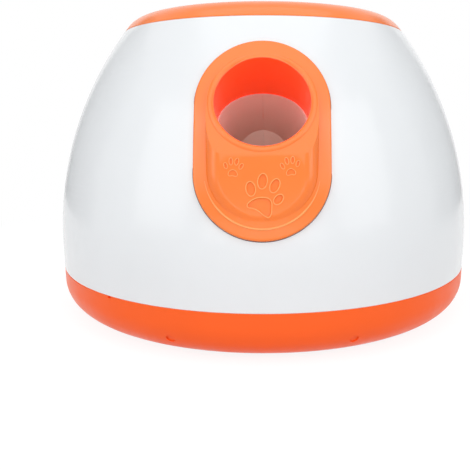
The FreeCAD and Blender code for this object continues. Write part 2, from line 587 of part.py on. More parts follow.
# gearbox walls, one on each half
WALL_POSTS = ((190.0, 95.5), (239.0, 70.0), (154.0, 71.0))
LEFT_X0, LEFT_X1, RIGHT_X0, RIGHT_X1 = -10.0, -7.0, 27.0, 30.0
crown = [(246, 62), (246, 76), (240, 80), (198, 102), (184, 103), (149, 79), (147, 66)]
left_wall = prism([(LEFT_X0, s, t) for s, t in [(163, 26), (229, 26)] + crown], (LEFT_X1 - LEFT_X0, 0, 0))
right_wall = prism([(RIGHT_X0, s, t) for s, t in [(157, 3), (234, 3)] + crown], (RIGHT_X1 - RIGHT_X0, 0, 0))
rear_bosses = [cyl(4.2, (s * CAP_X, 239, 0), (0, 1, 0), BARREL_END - 239) for s in (-1, 1)]
TABS = ((98.0, -34.0, -28.0), (211.0, -34.0, -28.0), (67.0, 34.0, 28.0))
whole = [left_wall, right_wall] + rear_bosses
for s, t, foot in TABS:
    whole.append(box(-6, 6, s - 6, s + 6, min(t - 4, foot), max(t + 4, foot)))
for shape in whole:
    tube = tube.fuse(seated(shape))
for x, y, z in EAR_POSTS:
    for s in (-1, 1):
        tube = tube.fuse(box(min(s * 26, s * 47), max(s * 26, s * 47), y - 7, y + 7, z, z + 3))
# gearbox posts on the right half, lever cheeks, switch bracket
for s, t in WALL_POSTS:
    tube = tube.fuse(seated(xcyl(3.6, LEFT_X1, RIGHT_X1, s, t)))
PIVOT_S, PIVOT_T = 156.0, -33.0
for a, b in ((-6.2, -2.4), (2.4, 6.2)):
    tube = tube.fuse(seated(box(a, b, PIVOT_S - 5, PIVOT_S + 5, -38, -28)))
SWITCH_S = 140.0
tube = tube.fuse(seated(box(-6.4, -3.4, SWITCH_S - 10, SWITCH_S + 10, -46, -28)))

# axles along X: cam gear, second gear, first gear, motor
step_2 = MOD_1 * (BIG_Z + PINION_Z) / 2
step_1 = MOD_2 * (FIRST_Z + PINION_Z) / 2


def stepped(s, t, way, angle):
    return (s + way * math.cos(math.radians(angle)), t + way * math.sin(math.radians(angle)))


CAM = (CAM_S, RACK_T + RACK_MOD * SECTOR_Z / 2)
SECOND = stepped(*CAM, step_2, ANGLE_2)
FIRST = stepped(*SECOND, step_1, ANGLE_1)
MOTOR = stepped(*FIRST, step_1, ANGLE_M)

tube = tube.cut(seated(cyl(BORE_R, (0, -40, 0), (0, 1, 0), 320)))
tube = tube.cut(seated(cyl(socket_r, (0, -40, 0), (0, 1, 0), 150)).cut(past_sleeve(SLEEVE_GAP)))
tube = tube.cut(cyl(BORE_R, (0, NECK_Y, 40), (0, 0, 1), 130).common(over_axis))
SLOT_X = 3.6
SLOT_S0, SLOT_S1 = FACE_S - 0.4, 246.0
cuts = [box(-SLOT_X, SLOT_X, SLOT_S0, SLOT_S1, 20, 35),
        box(-2.6, 2.6, 131.0, 143.5, -36, -20)]
cuts += [xcyl(AXLE_R + 0.03, LEFT_X0 - 1, RIGHT_X1 + 1, s, t) for s, t in (CAM, SECOND, FIRST)]
cuts += [xcyl(1.7, LEFT_X0 - 1, LEFT_X1, s, t) for s, t in WALL_POSTS]
cuts += [xcyl(SCREW_HOLE, LEFT_X1 - 0.01, LEFT_X1 + 15, s, t) for s, t in WALL_POSTS]
cuts += [xcyl(5.2, RIGHT_X0 - 1, RIGHT_X1 + 1, *MOTOR)]
cuts += [xcyl(1.4, RIGHT_X0 - 1, RIGHT_X1 + 1, MOTOR[0] + d, MOTOR[1]) for d in (-8, 8)]
cuts += [xcyl(1.5 + RUN, -7, 7, PIVOT_S, PIVOT_T)]
cuts += [xcyl(0.9, -7, -3, SWITCH_S + d, -43.5) for d in (-4.75, 4.75)]
cuts += [cyl(SCREW_HOLE, (s * CAP_X, 240, 0), (0, 1, 0), 12) for s in (-1, 1)]
for s, t, foot in TABS:
    cuts += [xcyl(1.7, 0, 7, s, t), xcyl(SCREW_HOLE, -7, 0, s, t)]
for c in cuts:
    tube = tube.cut(seated(c))
for x, y, z in EAR_POSTS:
    for s in (-1, 1):
        tube = tube.cut(cyl(1.7, (s * x, y, z - 1), (0, 0, 1), 5))
SPLIT = 0.08
left = tube.common(box(-80, -SPLIT, -200, 200, -50, 300)).cut(
    seated(box(LEFT_X1, 0, 140, 250, 62, 110)))
right = tube.common(box(SPLIT, 80, -200, 200, -50, 300)).fuse(
    tube.common(seated(box(LEFT_X1, SPLIT, 140, 250, 62, 110))))
save("barrel_left", left.removeSplitter())
save("barrel_right", right.removeSplitter())

cap = cyl(BARREL_R, (0, BARREL_END, 0), (0, 1, 0), 3.0)
cap = cap.fuse(cyl(BORE_R - GAP, (0, BARREL_END - CAP_SPIGOT, 0), (0, 1, 0), CAP_SPIGOT))
cap = cap.fuse(cyl(14.0, (0, BARREL_END - 14, 0), (0, 1, 0), 12.0))
for s in (-1, 1):
    cap = cap.fuse(cyl(4.2, (s * CAP_X, BARREL_END, 0), (0, 1, 0), 3.0))
cap = cap.cut(cyl(11.0, (0, BARREL_END - 15, 0), (0, 1, 0), 13.0))
for s in (-1, 1):
    cap = cap.cut(cyl(1.7, (s * CAP_X, BARREL_END - 1, 0), (0, 1, 0), 5.0))
save("barrel_cap", seated(cap.removeSplitter()))
save("cap_screws", [seated(screw((s * CAP_X, BARREL_END + 3, 0), (0, -1, 0))) for s in (-1, 1)])
save("barrel_screws", [seated(screw((6, s, t), (-1, 0, 0), length=10)) for s, t, foot in TABS])
save("ear_screws", [screw((s * x, y, z + 3), (0, 0, -1), length=12)
                    for x, y, z in EAR_POSTS for s in (-1, 1)])
bumper = box(-3.4, 3.4, SLOT_S0 + 0.1, FACE_S + 1.9, BORE_R + GAP, BARREL_R + 1.4).fuse(
    box(-6, 6, FACE_S - 5, FACE_S + 1.9, BARREL_R - 1.0, BARREL_R + 1.9))
bumper = bumper.cut(cyl(BARREL_R + 0.05, (0, 100, 0), (0, 1, 0), 100).cut(
    box(-3.4, 3.4, SLOT_S0 + 0.1, FACE_S + 1.9, 20, 40)))
save("stop_bumper", seated(bumper.removeSplitter()))

# ============================================================================================ striker
striker = cyl(CUP_R, (0, FACE_S, 0), (0, 1, 0), CUP_LONG).cut(
    cyl(CUP_R - WALL, (0, FACE_S + 4, 0), (0, 1, 0), CUP_LONG))
pitch = math.pi * RACK_MOD
rack_root, rack_tip = RACK_T - 1.25 * RACK_MOD, RACK_T + RACK_MOD
half_pitch_w = pitch / 4 - BACKLASH / 2
outline = []
for k in range(SECTOR_TEETH):
    c = CAM_S + pitch / 2 - (SECTOR_TEETH - 1 - k) * pitch
    wide, narrow = half_pitch_w + 1.25 * RACK_MOD * TAN20, half_pitch_w - RACK_MOD * TAN20
    outline += [(c - wide, rack_root), (c - narrow, rack_tip), (c + narrow, rack_tip), (c + wide, rack_root)]
outline += [(outline[-1][0], 32.5), (outline[0][0], 32.5)]
rack = prism([(-4, s, t) for s, t in outline], (8, 0, 0))
web = box(-3, 3, FACE_S + 2, FACE_S + CUP_LONG - 2, CUP_R - 1.9, 33.0)
save("striker", seated(striker.fuse(web).fuse(rack).removeSplitter()))
pad = cyl(19.0, (0, FACE_S - 3, 0), (0, 1, 0), 3.0)
pad = pad.makeFillet(1.2, [e for e in pad.Edges if len(e.Vertexes) == 1 and e.CenterOfMass.y < FACE_S - 2.9])
save("striker_pad", seated(pad))
spring = coil(18.5, 1.25, BARREL_END - CAP_SPIGOT - FACE_S - 4 - 0.4, 8)
spring.rotate(V(0, 0, 0), X, -90)
spring.translate(V(0, FACE_S + 4.2, 0))
save("main_spring", seated(spring))

# ============================================================================================ gears
half_tooth = 180.0 / PINION_Z
big_1 = gear(BIG_Z, MOD_1, -SHIFT, ANGLE_2, 7.5, 13.5, *CAM)
sector = gear(SECTOR_Z, RACK_MOD, 0.0, -90.0, -4, 4, *CAM, some=SECTOR_TEETH)
cam = sector.fuse(xcyl(7.0, 4, 7.5, *CAM)).fuse(big_1).fuse(xcyl(4.0, -6.7, -4, *CAM)).fuse(
    xcyl(3.6, 13.5, 26.7, *CAM)).cut(xcyl(AXLE_R + RUN, -8, 28, *CAM))
save("cam_gear", seated(cam))
pin_2 = gear(PINION_Z, MOD_1, SHIFT, ANGLE_2 + 180 + half_tooth, 7.0, 14.4, *SECOND)
big_2 = gear(FIRST_Z, MOD_2, -SHIFT, ANGLE_1, 14.6, 18.6, *SECOND)
second = pin_2.fuse(xcyl(6.6, 14.2, 14.8, *SECOND)).fuse(big_2).fuse(xcyl(3.5, -6.7, 7.2, *SECOND)).fuse(
    xcyl(3.2, 18.4, 26.7, *SECOND)).cut(xcyl(AXLE_R + RUN, -8, 28, *SECOND))
save("second_gear", seated(second))
pin_1 = gear(PINION_Z, MOD_2, SHIFT, ANGLE_1 + 180 + half_tooth, 14.0, 19.8, *FIRST)
big_f = gear(FIRST_Z, MOD_2, -SHIFT, ANGLE_M, 20.0, 23.8, *FIRST)
first = pin_1.fuse(xcyl(5.6, 19.6, 20.2, *FIRST)).fuse(big_f).fuse(xcyl(3.1, -6.7, 14.2, *FIRST)).fuse(
    xcyl(3.1, 23.6, 26.7, *FIRST)).cut(xcyl(AXLE_R + RUN, -8, 28, *FIRST))
save("first_gear", seated(first))
save("gear_axles", [seated(xcyl(AXLE_R, LEFT_X0, RIGHT_X1, s, t)) for s, t in (CAM, SECOND, FIRST)])
save("gearbox_screws", [seated(screw((LEFT_X0, s, t), (1, 0, 0), length=12)) for s, t in WALL_POSTS])

# ============================================================================================ motor
SHAFT_R = 1.15
can = xcyl(13.9, 30, 62, *MOTOR).fuse(xcyl(5.0, 27.5, 30, *MOTOR)).cut(xcyl(12.8, 31.2, 63, *MOTOR))
can = can.cut(xcyl(SHAFT_R + RUN, 27, 32, *MOTOR))
for d in (-8, 8):
    can = can.cut(xcyl(1.35, 29, 32, MOTOR[0] + d, MOTOR[1]))
save("motor_can", seated(can))
bell = xcyl(13.9, 62, 65, *MOTOR).fuse(xcyl(12.6, 59.5, 62, *MOTOR)).fuse(xcyl(4.5, 65, 67, *MOTOR))
bell = bell.cut(xcyl(5.6, 59, 63, *MOTOR)).cut(xcyl(SHAFT_R + RUN, 58, 66, *MOTOR))
for d in (-1, 1):
    bell = bell.fuse(box(65, 70, MOTOR[0] + d * 9 - 0.3, MOTOR[0] + d * 9 + 0.3,
                         MOTOR[1] - 1.5, MOTOR[1] + 1.5))
save("motor_endbell", seated(bell))
rotor = xcyl(SHAFT_R, 20.6, 65.5, *MOTOR).fuse(xcyl(9.4, 36, 55, *MOTOR)).fuse(xcyl(3.6, 56, 61, *MOTOR))
for k in range(3):
    a = 2 * math.pi * k / 3
    rotor = rotor.cut(xcyl(1.6, 35, 56, MOTOR[0] + 9.0 * math.cos(a), MOTOR[1] + 9.0 * math.sin(a)))
save("motor_rotor", seated(rotor))
pinion = gear(PINION_Z, MOD_2, SHIFT, ANGLE_M + 180 + half_tooth, 20.6, 26.2, *MOTOR)
save("motor_pinion", seated(pinion.cut(xcyl(SHAFT_R + 0.01, 20, 27, *MOTOR))))
save("motor_screws", [seated(screw((RIGHT_X0, MOTOR[0] + d, MOTOR[1]), (1, 0, 0), 2.1, 1.6, 1.3, 4.0))
                      for d in (-8, 8)])

# ============================================================================================ ball switch
lever = box(-2, 2, 134.0, PIVOT_S + 2, -33.5, -30.6).fuse(box(-2, 2, 134.0, 140.5, -33.5, -27.0))
lever = lever.fuse(xcyl(3.25, -2, 2, 137.25, -28.25)).fuse(xcyl(3.0, -2, 2, PIVOT_S, PIVOT_T + 0.2).common(
    box(-3, 3, 140, 170, -40, -30.4)))
lever = lever.fuse(xcyl(1.5, -6.2, 6.2, PIVOT_S, PIVOT_T))
save("ball_lever", seated(lever.removeSplitter()))
switch = box(-3.2, 3.2, SWITCH_S - 10, SWITCH_S + 10, -46, -38).fuse(
    cyl(1.0, (0, SWITCH_S, -38.2), (0, 0, 1), 2.3))
for d in (-7.5, 0.5, 7.5):
    switch = switch.fuse(box(-0.4, 0.4, SWITCH_S + d - 1.2, SWITCH_S + d + 1.2, -49.5, -45.9))
for d in (-4.75, 4.75):
    switch = switch.cut(xcyl(1.1, -4, 4, SWITCH_S + d, -43.5))
save("micro_switch", seated(switch.removeSplitter()))
save("switch_screws", [seated(screw((3.2, SWITCH_S + d, -43.5), (-1, 0, 0), 1.8, 1.3, 0.9, 8.5))
                       for d in (-4.75, 4.75)])

# ============================================================================================ fixings, feet
save("case_screws", [around(screw(case_point(3.4), case_in, 2.7, 1.8, 1.3, 10), a) for a in CASE_ANGLES])
save("screw_plugs", [around(cyl(2.85, case_point(0.95), case_in, 0.6), a) for a in CASE_ANGLES])
save("funnel_screws", [around(screw((0, -91, 191.5), (0, 0, 1), length=11), a) for a in TAB_ANGLES])
feet = []
for x, y in FEET:
    foot = cyl(9.0, (x, y, 0), (0, 0, 1), FOOT_H + 1.2)
    feet.append(foot.makeFillet(0.8, [e for e in foot.Edges
                                      if len(e.Vertexes) == 1 and e.CenterOfMass.z < 0.1]))
save("rubber_feet", feet)

# ============================================================================================ batteries
cells, springs, plates = [], [], []
for y in CELL_ROWS_Y:
    for k in (0, 1):
        x1 = CONTACT_X - 0.1 - k * (CELL_LONG + 0.1)
        cells.append(xcyl(CELL_R, x1 - CELL_LONG, x1 - 1.8, y, CELL_Z).fuse(
            xcyl(3.6, x1 - 1.8, x1, y, CELL_Z)).removeSplitter())
    low_x = CONTACT_X - 0.2 - 2 * CELL_LONG - 0.1
    turns = coil(5.0, 0.5, low_x - (-CELL_X + 0.5) - 0.1, 3)
    turns.rotate(V(0, 0, 0), V(0, 1, 0), 90)
    turns.translate(V(-CELL_X + 0.5, y, CELL_Z))
    springs.append(turns)
    plates += [box(-CELL_X + 0.02, -CELL_X + 0.42, y - 9, y + 9, CELL_Z - 9, CELL_Z + 9),
               box(CONTACT_X, CONTACT_X + 0.4, y - 9, y + 9, CELL_Z - 9, CELL_Z + 9)]
save("c_cells", cells)
save("battery_springs", springs)
save("battery_contacts", plates)
DOOR_X = CELL_X - 1.0
door = box(-DOOR_X, DOOR_X, DOOR_Y0, DOOR_Y1, FOOT_H, FLOOR_TOP)
for s in (-1, 1):
    door = door.cut(box(min(s * 50, s * 60), max(s * 50, s * 60), -30.6, -20, 0, 10))
door = door.fuse(xcyl(KNUCKLE_R, -50, 50, HINGE_Y, HINGE_Z)).fuse(xcyl(1.6, -54.4, 54.4, HINGE_Y, HINGE_Z))
door = door.cut(cyl(9.0, (0, DOOR_Y0 - 2, FOOT_H - 1.0), (0, 0, 1), 2.2))
for k in range(5):
    door = door.cut(box(-14 + k * 6.6, -12.4 + k * 6.6, DOOR_Y0 + 12, DOOR_Y0 + 24, FOOT_H - 1, FOOT_H + 0.6))
save("battery_door", door.removeSplitter())

# ============================================================================================ control panel
panel_skin = dome_body(1.8, 50, 150)
panel = panel_skin.common(panel_bar(PANEL_HALF, 120, 170)).cut(dome_body(0.12, 40, 160))
panel = panel.fuse(panel_skin.common(panel_bar(PANEL_HALF - 2.4, PANEL_BACK_Y, 170)))
BOARD_POSTS = [(x, PANEL_Z + z) for x in (-38.0, 38.0) for z in (-8.0, 8.0)]
for x, z in BOARD_POSTS:
    panel = panel.fuse(cyl(3.0, (x, BOARD_Y, z), (0, 1, 0), PANEL_BACK_Y - BOARD_Y + 1))
for s in (-1, 1):
    panel = panel.cut(cyl(BUTTON_R + GAP, (s * BUTTON_X, 120, PANEL_Z), (0, 1, 0), 60))
LAMP_X, LAMP_Z = (-9.0, 0.0, 9.0), PANEL_Z + 5.0
for x in LAMP_X:
    panel = panel.cut(cyl(2.1, (x, 120, LAMP_Z), (0, 1, 0), 60))
for x, z in BOARD_POSTS:
    panel = panel.cut(cyl(1.1, (x, BOARD_Y - 1, z), (0, 1, 0), 9))
save("control_panel", panel.removeSplitter())
pipes = []
for x in LAMP_X:
    pipe = cyl(2.0, (x, BOARD_Y + 2.4, LAMP_Z), (0, 1, 0), 16.4)
    pipes.append(pipe.fuse(cyl(2.9, (x, PANEL_BACK_Y - 1.2, LAMP_Z), (0, 1, 0), 1.1)).removeSplitter())
save("light_pipes", pipes)
board_b = box(-41, 41, BOARD_Y - 1.6, BOARD_Y, PANEL_Z - 13, PANEL_Z + 13)
for x, z in BOARD_POSTS:
    board_b = board_b.cut(cyl(1.5, (x, 120, z), (0, 1, 0), 20))
save("button_board", board_b)
bits = []
for s in (-1, 1):
    key = box(s * BUTTON_X - 3, s * BUTTON_X + 3, BOARD_Y, BOARD_Y + 3.3, PANEL_Z - 3, PANEL_Z + 3)
    key = key.fuse(cyl(1.7, (s * BUTTON_X, BOARD_Y + 3, PANEL_Z), (0, 1, 0), KEY_TOP - 3))
    bits.append(key.removeSplitter())
bits += [box(x - 1.6, x + 1.6, BOARD_Y, BOARD_Y + 2.2, LAMP_Z - 1.2, LAMP_Z + 1.2) for x in LAMP_X]
bits.append(box(-6, 6, BOARD_Y, BOARD_Y + 1.7, PANEL_Z - 9, PANEL_Z - 4))
bits.append(box(-35, -25, BOARD_Y - 7.6, BOARD_Y - 1.6, PANEL_Z - 11, PANEL_Z - 5))
save("button_board_parts", bits)
save("button_board_screws", [screw((x, BOARD_Y - 1.6, z), (0, 1, 0), 2.3, 1.5, 1.1, 8)
                             for x, z in BOARD_POSTS])
for name, s in (("power", -1), ("distance", 1)):
    x = s * BUTTON_X
    button = cyl(BUTTON_R, (x, BOARD_Y + 7.4, PANEL_Z), (0, 1, 0), 11.9)
    button = button.makeFillet(1.0, [e for e in button.Edges
                                     if len(e.Vertexes) == 1 and e.CenterOfMass.y > BOARD_Y + 18])
    button = button.cut(Part.makeSphere(30.0, V(x, BOARD_Y + 19.3 + 29.4, PANEL_Z)))
    button = button.fuse(cyl(BUTTON_R + 1.7, (x, BOARD_Y + 7.4, PANEL_Z), (0, 1, 0), 1.8))
    button = button.fuse(cyl(2.2, (x, BOARD_Y + KEY_TOP + BUTTON_TRAVEL + 0.1, PANEL_Z), (0, 1, 0), 2.5))
    save(name + "_button", button.removeSplitter())
    turns = coil(6.0, 0.4, 7.2, 5)
    turns.rotate(V(0, 0, 0), X, -90)
    turns.translate(V(x, BOARD_Y + 0.1, PANEL_Z))
    save(name + "_spring", turns)

# ============================================================================================ inlet, speaker
inlet = cyl(JACK_R, (0, 141, JACK_Z), (0, 1, 0), 14.05)
inlet = inlet.fuse(cyl(7.2, (0, 155.05, JACK_Z), (0, 1, 0), 0.7))
inlet = inlet.cut(cyl(2.9, (0, 147, JACK_Z), (0, 1, 0), 12))
inlet = inlet.fuse(cyl(1.0, (0, 146.5, JACK_Z), (0, 1, 0), 9.0))
nut = cyl(7.2, (0, 149.4, JACK_Z), (0, 1, 0), 2.7).cut(cyl(JACK_R, (0, 149, JACK_Z), (0, 1, 0), 4))
save("dc_inlet", inlet.removeSplitter())
save("inlet_nut", nut)
sx, sy = SPEAKER
cone_z = FLOOR_TOP + 0.1
frame = turned([(22.4, cone_z), (SPEAKER_R, cone_z), (SPEAKER_R, cone_z + 2.0), (13.0, cone_z + 8.4),
                (13.0, cone_z + 15.0), (0, cone_z + 15.0), (0, cone_z + 9.0), (11.0, cone_z + 8.0),
                (22.4, cone_z + 1.5)])
frame.translate(V(sx, sy, 0))
save("speaker_frame", frame)
paper = turned([(21.8, cone_z + 0.2), (21.8, cone_z + 0.7), (8.0, cone_z + 6.0), (0, cone_z + 4.8),
                (0, cone_z + 4.3), (8.0, cone_z + 5.5)])
paper.translate(V(sx, sy, 0))
save("speaker_cone", paper)

# ============================================================================================ main board
board = box(BOARD_X0, BOARD_X1, BOARD_Y0, BOARD_Y1, BOARD_Z, BOARD_Z + 1.6)
for x, y in BOARD_HOLES:
    board = board.cut(cyl(1.5, (x, y, BOARD_Z - 1), (0, 0, 1), 4))
save("main_board", board)
top = BOARD_Z + 1.6
PLUGS = {"motor": (-94.0, 51.0), "speaker": (-84.0, 51.0), "panel": (-74.0, 51.0), "inlet": (-104.0, 51.0),
         "battery": (-76.0, -6.0), "switch": (-88.0, -6.0)}
bits = [box(x - 3.5, x + 3.5, y - 3, y + 3, top, top + 5.8) for x, y in PLUGS.values()]
bits += [box(-100, -88, 14, 26, top, top + 1.6), box(-80, -65, 12, 24, top, top + 10),
         cyl(5.0, (-110, 34, top), (0, 0, 1), 12), cyl(5.0, (-110, 20, top), (0, 0, 1), 12),
         box(-84, -74, 30, 37, top, top + 2.2), box(-116, -106, -4, 6, top, top + 6)]
save("board_parts", bits)
save("board_screws", [screw((x, y, top), (0, 0, -1), 2.3, 1.5, 1.1, 7) for x, y in BOARD_HOLES])

# ============================================================================================ leads
PLUG_TOP = top + 5.8 + 0.1


def drop_to(name, z):
    x, y = PLUGS[name]
    return [(x, y, z), (x, y, PLUG_TOP)]


m = at(*MOTOR)
save("motor_lead", cord([(70.4, m.y, m.z), (82, m.y, m.z), (82, m.y, 38), (82, 112, 38), (-94, 112, 38)]
                        + drop_to("motor", 38), 1.5, 6))
save("speaker_lead", cord([(sx - 10, sy + 12, cone_z + 11.2), (sx - 10, sy + 12, 30), (sx - 10, 104, 30),
                           (-84, 104, 30)] + drop_to("speaker", 30), 1.1, 5))
save("battery_lead", cord([(-CELL_X - 2.1, -60, 28), (-76, -60, 28), (-76, -6, 28)]
                          + drop_to("battery", 28)[1:], 1.4, 4))
save("panel_lead", cord([(-30, BOARD_Y - 7.7, PANEL_Z - 8), (-30, 118, PANEL_Z - 8), (-30, 118, 45),
                         (-74, 118, 45)] + drop_to("panel", 45), 1.4, 5))
save("inlet_lead", cord([(0, 140.9, JACK_Z), (0, 128, JACK_Z), (-46, 128, JACK_Z), (-104, 96, 54)]
                        + drop_to("inlet", 54), 1.4, 5))
q = at(SWITCH_S + 0.5, -50.7)
save("switch_lead", cord([(0, q.y, q.z), (0, q.y, q.z - 1.5), (-88, q.y, q.z - 1.5)]
                         + drop_to("switch", q.z - 1.5), 1.0, 0.9))
print(len(PARTS), "nodes")
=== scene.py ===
import json
import math

import bmesh
import bpy
import numpy as np
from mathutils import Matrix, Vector


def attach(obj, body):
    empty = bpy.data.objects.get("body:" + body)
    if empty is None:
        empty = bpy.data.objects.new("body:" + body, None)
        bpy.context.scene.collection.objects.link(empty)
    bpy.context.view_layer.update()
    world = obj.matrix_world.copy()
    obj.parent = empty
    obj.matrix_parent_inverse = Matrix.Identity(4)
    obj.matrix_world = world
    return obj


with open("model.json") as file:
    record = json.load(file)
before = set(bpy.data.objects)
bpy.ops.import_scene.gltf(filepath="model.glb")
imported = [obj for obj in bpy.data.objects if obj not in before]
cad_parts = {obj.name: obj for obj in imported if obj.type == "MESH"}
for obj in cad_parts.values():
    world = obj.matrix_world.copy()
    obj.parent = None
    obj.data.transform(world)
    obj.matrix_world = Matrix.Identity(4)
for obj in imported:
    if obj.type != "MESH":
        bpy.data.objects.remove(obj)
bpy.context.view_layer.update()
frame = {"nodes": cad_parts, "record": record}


def linked(thing):
    """Put an object in the scene."""
    bpy.context.scene.collection.objects.link(thing)
    return thing


# ---------------------------------------------------------------------- camera
IMAGE_SIDE = 470.0
FOCAL_PX = 579.9
AXIS_PX = 28.5         # how far right of the picture's centre the lens points
SENSOR = 36.0          # millimetres
NEAREST = 0.01         # where the view starts
CAMERA_AT = (0.0023, -0.465, 0.1456)
CAMERA_DOWN = 12.0     # degrees
CAMERA_TURN = math.atan2(CAMERA_AT[0], -CAMERA_AT[1])   # back to the part's axis

camera = linked(bpy.data.objects.new("camera", bpy.data.cameras.new("camera")))
camera.data.sensor_width = SENSOR
camera.data.lens = FOCAL_PX / IMAGE_SIDE * SENSOR
camera.data.shift_x = -AXIS_PX / IMAGE_SIDE
camera.data.clip_start = NEAREST
camera.location = CAMERA_AT
camera.rotation_euler = (math.radians(90.0 - CAMERA_DOWN), 0.0, CAMERA_TURN)
bpy.context.scene.camera = camera
bpy.context.scene.view_settings.view_transform = "Standard"
bpy.context.scene.cycles.diffuse_bounces = 8      # light that rattles about in the orange sleeve

# ---------------------------------------------------------------------- material tools
COAT_ROUGH = 0.08
BUMP_UNIT = 0.001                            # metres of bump for a height of 1
BANDS_AT_SCALE_1 = 10.0 / math.pi            # of a wave texture, per metre
DRIFT, GLOSS, PEEL, GRAIN = 14.0, 60.0, 260.0, 2600.0    # plastic: noise per metre, from slow to fine
STAINS = 180.0                               # metal: the same
GLOSSY, DULL = (0.82, 0.7), (1.2, 1.35)      # shares of the roughness of plastic and of metal
METAL_VARY = 0.08


class Shader:
    """One Principled material with helpers for its procedural nodes. Textures use the part's own metres."""

    def __init__(self, name, colour, rough, metal=0.0, coat=0.0, ior=1.5, **more):
        self.slot = name
        self.material = bpy.data.materials.new(name)
        self.material.use_nodes = True
        self.tree = self.material.node_tree
        self.main = self.tree.nodes["Principled BSDF"]
        self.colour = tuple(colour) + (1.0,)
        self.place = self.node("ShaderNodeTexCoord").outputs["Object"]
        self.heights = []
        self.set("Base Color", self.colour)
        self.set("Roughness", rough)
        self.set("Metallic", metal)
        self.set("IOR", ior)
        self.set("Coat Weight", coat)
        self.set("Coat Roughness", COAT_ROUGH)
        for key, value in more.items():
            self.set(key.replace("_", " ").title().replace("Ior", "IOR"), value)

    def set(self, key, value):
        self.main.inputs[key].default_value = value

    def node(self, kind, **settings):
        added = self.tree.nodes.new(kind)
        for key, value in settings.items():
            setattr(added, key, value)
        return added

    def link(self, a, b):
        self.tree.links.new(a, b)

    def stretched(self, scale):
        mapping = self.node("ShaderNodeMapping")
        mapping.inputs["Scale"].default_value = scale
        self.link(self.place, mapping.inputs["Vector"])
        return mapping.outputs["Vector"]

    def noise(self, per_metre, detail=2.0, stretch=None, rough=0.5):
        tex = self.node("ShaderNodeTexNoise")
        tex.inputs["Scale"].default_value = per_metre
        tex.inputs["Detail"].default_value = detail
        tex.inputs["Roughness"].default_value = rough
        self.link(self.stretched(stretch) if stretch else self.place, tex.inputs["Vector"])
        return tex.outputs["Fac"]

    def stripes(self, per_metre, axis):
        tex = self.node("ShaderNodeTexWave", bands_direction=axis)
        tex.inputs["Scale"].default_value = per_metre / BANDS_AT_SCALE_1
        self.link(self.place, tex.inputs["Vector"])
        return tex.outputs["Fac"]

    def cells(self, per_metre):
        tex = self.node("ShaderNodeTexVoronoi")
        tex.inputs["Scale"].default_value = per_metre
        self.link(self.place, tex.inputs["Vector"])
        return tex.outputs["Distance"]

    def axis(self, name):
        """The place along X, Y or Z, in metres."""
        split = self.node("ShaderNodeSeparateXYZ")
        self.link(self.place, split.inputs["Vector"])
        return split.outputs[name]

    def calc(self, kind, a, b=0.0):
        """One step of arithmetic on numbers or node outputs."""
        added = self.node("ShaderNodeMath", operation=kind)
        for k, value in enumerate((a, b)):
            if isinstance(value, (int, float)):
                added.inputs[k].default_value = value
            else:
                self.link(value, added.inputs[k])
        return added.outputs[0]

    def remap(self, noise, low, high):
        """Noise's middle half, 0.25 to 0.75, spread over low to high."""
        added = self.node("ShaderNodeMapRange")
        for key, value in (("From Min", 0.25), ("From Max", 0.75), ("To Min", low), ("To Max", high)):
            added.inputs[key].default_value = value
        self.link(noise, added.inputs["Value"])
        return added.outputs["Result"]

    def mix(self, factor, a, b):
        """Colour a where factor is 0, colour b where it is 1."""
        added = self.node("ShaderNodeMix", data_type="RGBA")
        self.link(factor, added.inputs["Factor"])
        for key, value in ((6, a), (7, b)):      # the node's two colour inputs
            if isinstance(value, tuple):
                added.inputs[key].default_value = value + (1.0,)
            else:
                self.link(value, added.inputs[key])
        return added.outputs[2]

    def shade(self, factor):
        """The material's colour, made lighter or darker."""
        return tuple(min(1.0, c * factor) for c in self.colour[:3])

    def drifting(self, factor, vary):
        """The material's colour, a little darker where factor is 0 and lighter where it is 1."""
        return self.mix(factor, self.shade(1 - vary), self.shade(1 + vary))

    def paint(self, source):
        self.link(source, self.main.inputs["Base Color"])

    def roughen(self, noise, low, high):
        self.link(self.remap(noise, low, high), self.main.inputs["Roughness"])

    def raise_by(self, source, metres):
        """Adds height to the bump, in metres from black to white."""
        self.heights.append(self.calc("MULTIPLY", source, metres / BUMP_UNIT))

    def done(self):
        if self.heights:
            total = self.heights[0]
            for other in self.heights[1:]:
                total = self.calc("ADD", total, other)
            bump = self.node("ShaderNodeBump")
            bump.inputs["Strength"].default_value = 1.0
            bump.inputs["Distance"].default_value = BUMP_UNIT
            self.link(total, bump.inputs["Height"])
            self.link(bump.outputs["Normal"], self.main.inputs["Normal"])
        return self.material


def moulded(name, colour, rough, coat=0.0, peel=4e-6, grain=0.0, vary=0.03, **more):
    """Injection-moulded plastic: slow drift of colour and gloss, orange peel, and grain if it is matte."""
    s = Shader(name, colour, rough, coat=coat, **more)
    s.paint(s.drifting(s.remap(s.noise(DRIFT, 3.0), 0.0, 1.0), vary))
    s.roughen(s.noise(GLOSS, 4.0), rough * GLOSSY[0], rough * DULL[0])
    s.raise_by(s.noise(PEEL), peel)
    if grain:
        s.raise_by(s.noise(GRAIN), grain)
    return s


def metal(name, colour, rough, stretch=(1.0, 1.0, 1.0), fine=1500.0, scratch=2e-6):
    """Bare or plated metal: stretched tool marks, stains and gloss drift."""
    s = Shader(name, colour, rough, metal=1.0)
    s.paint(s.drifting(s.remap(s.noise(STAINS, 4.0), 0.0, 1.0), METAL_VARY))
    marks = s.noise(fine, 3.0, stretch)
    s.roughen(marks, rough * GLOSSY[1], rough * DULL[1])
    s.raise_by(marks, scratch)
    return s


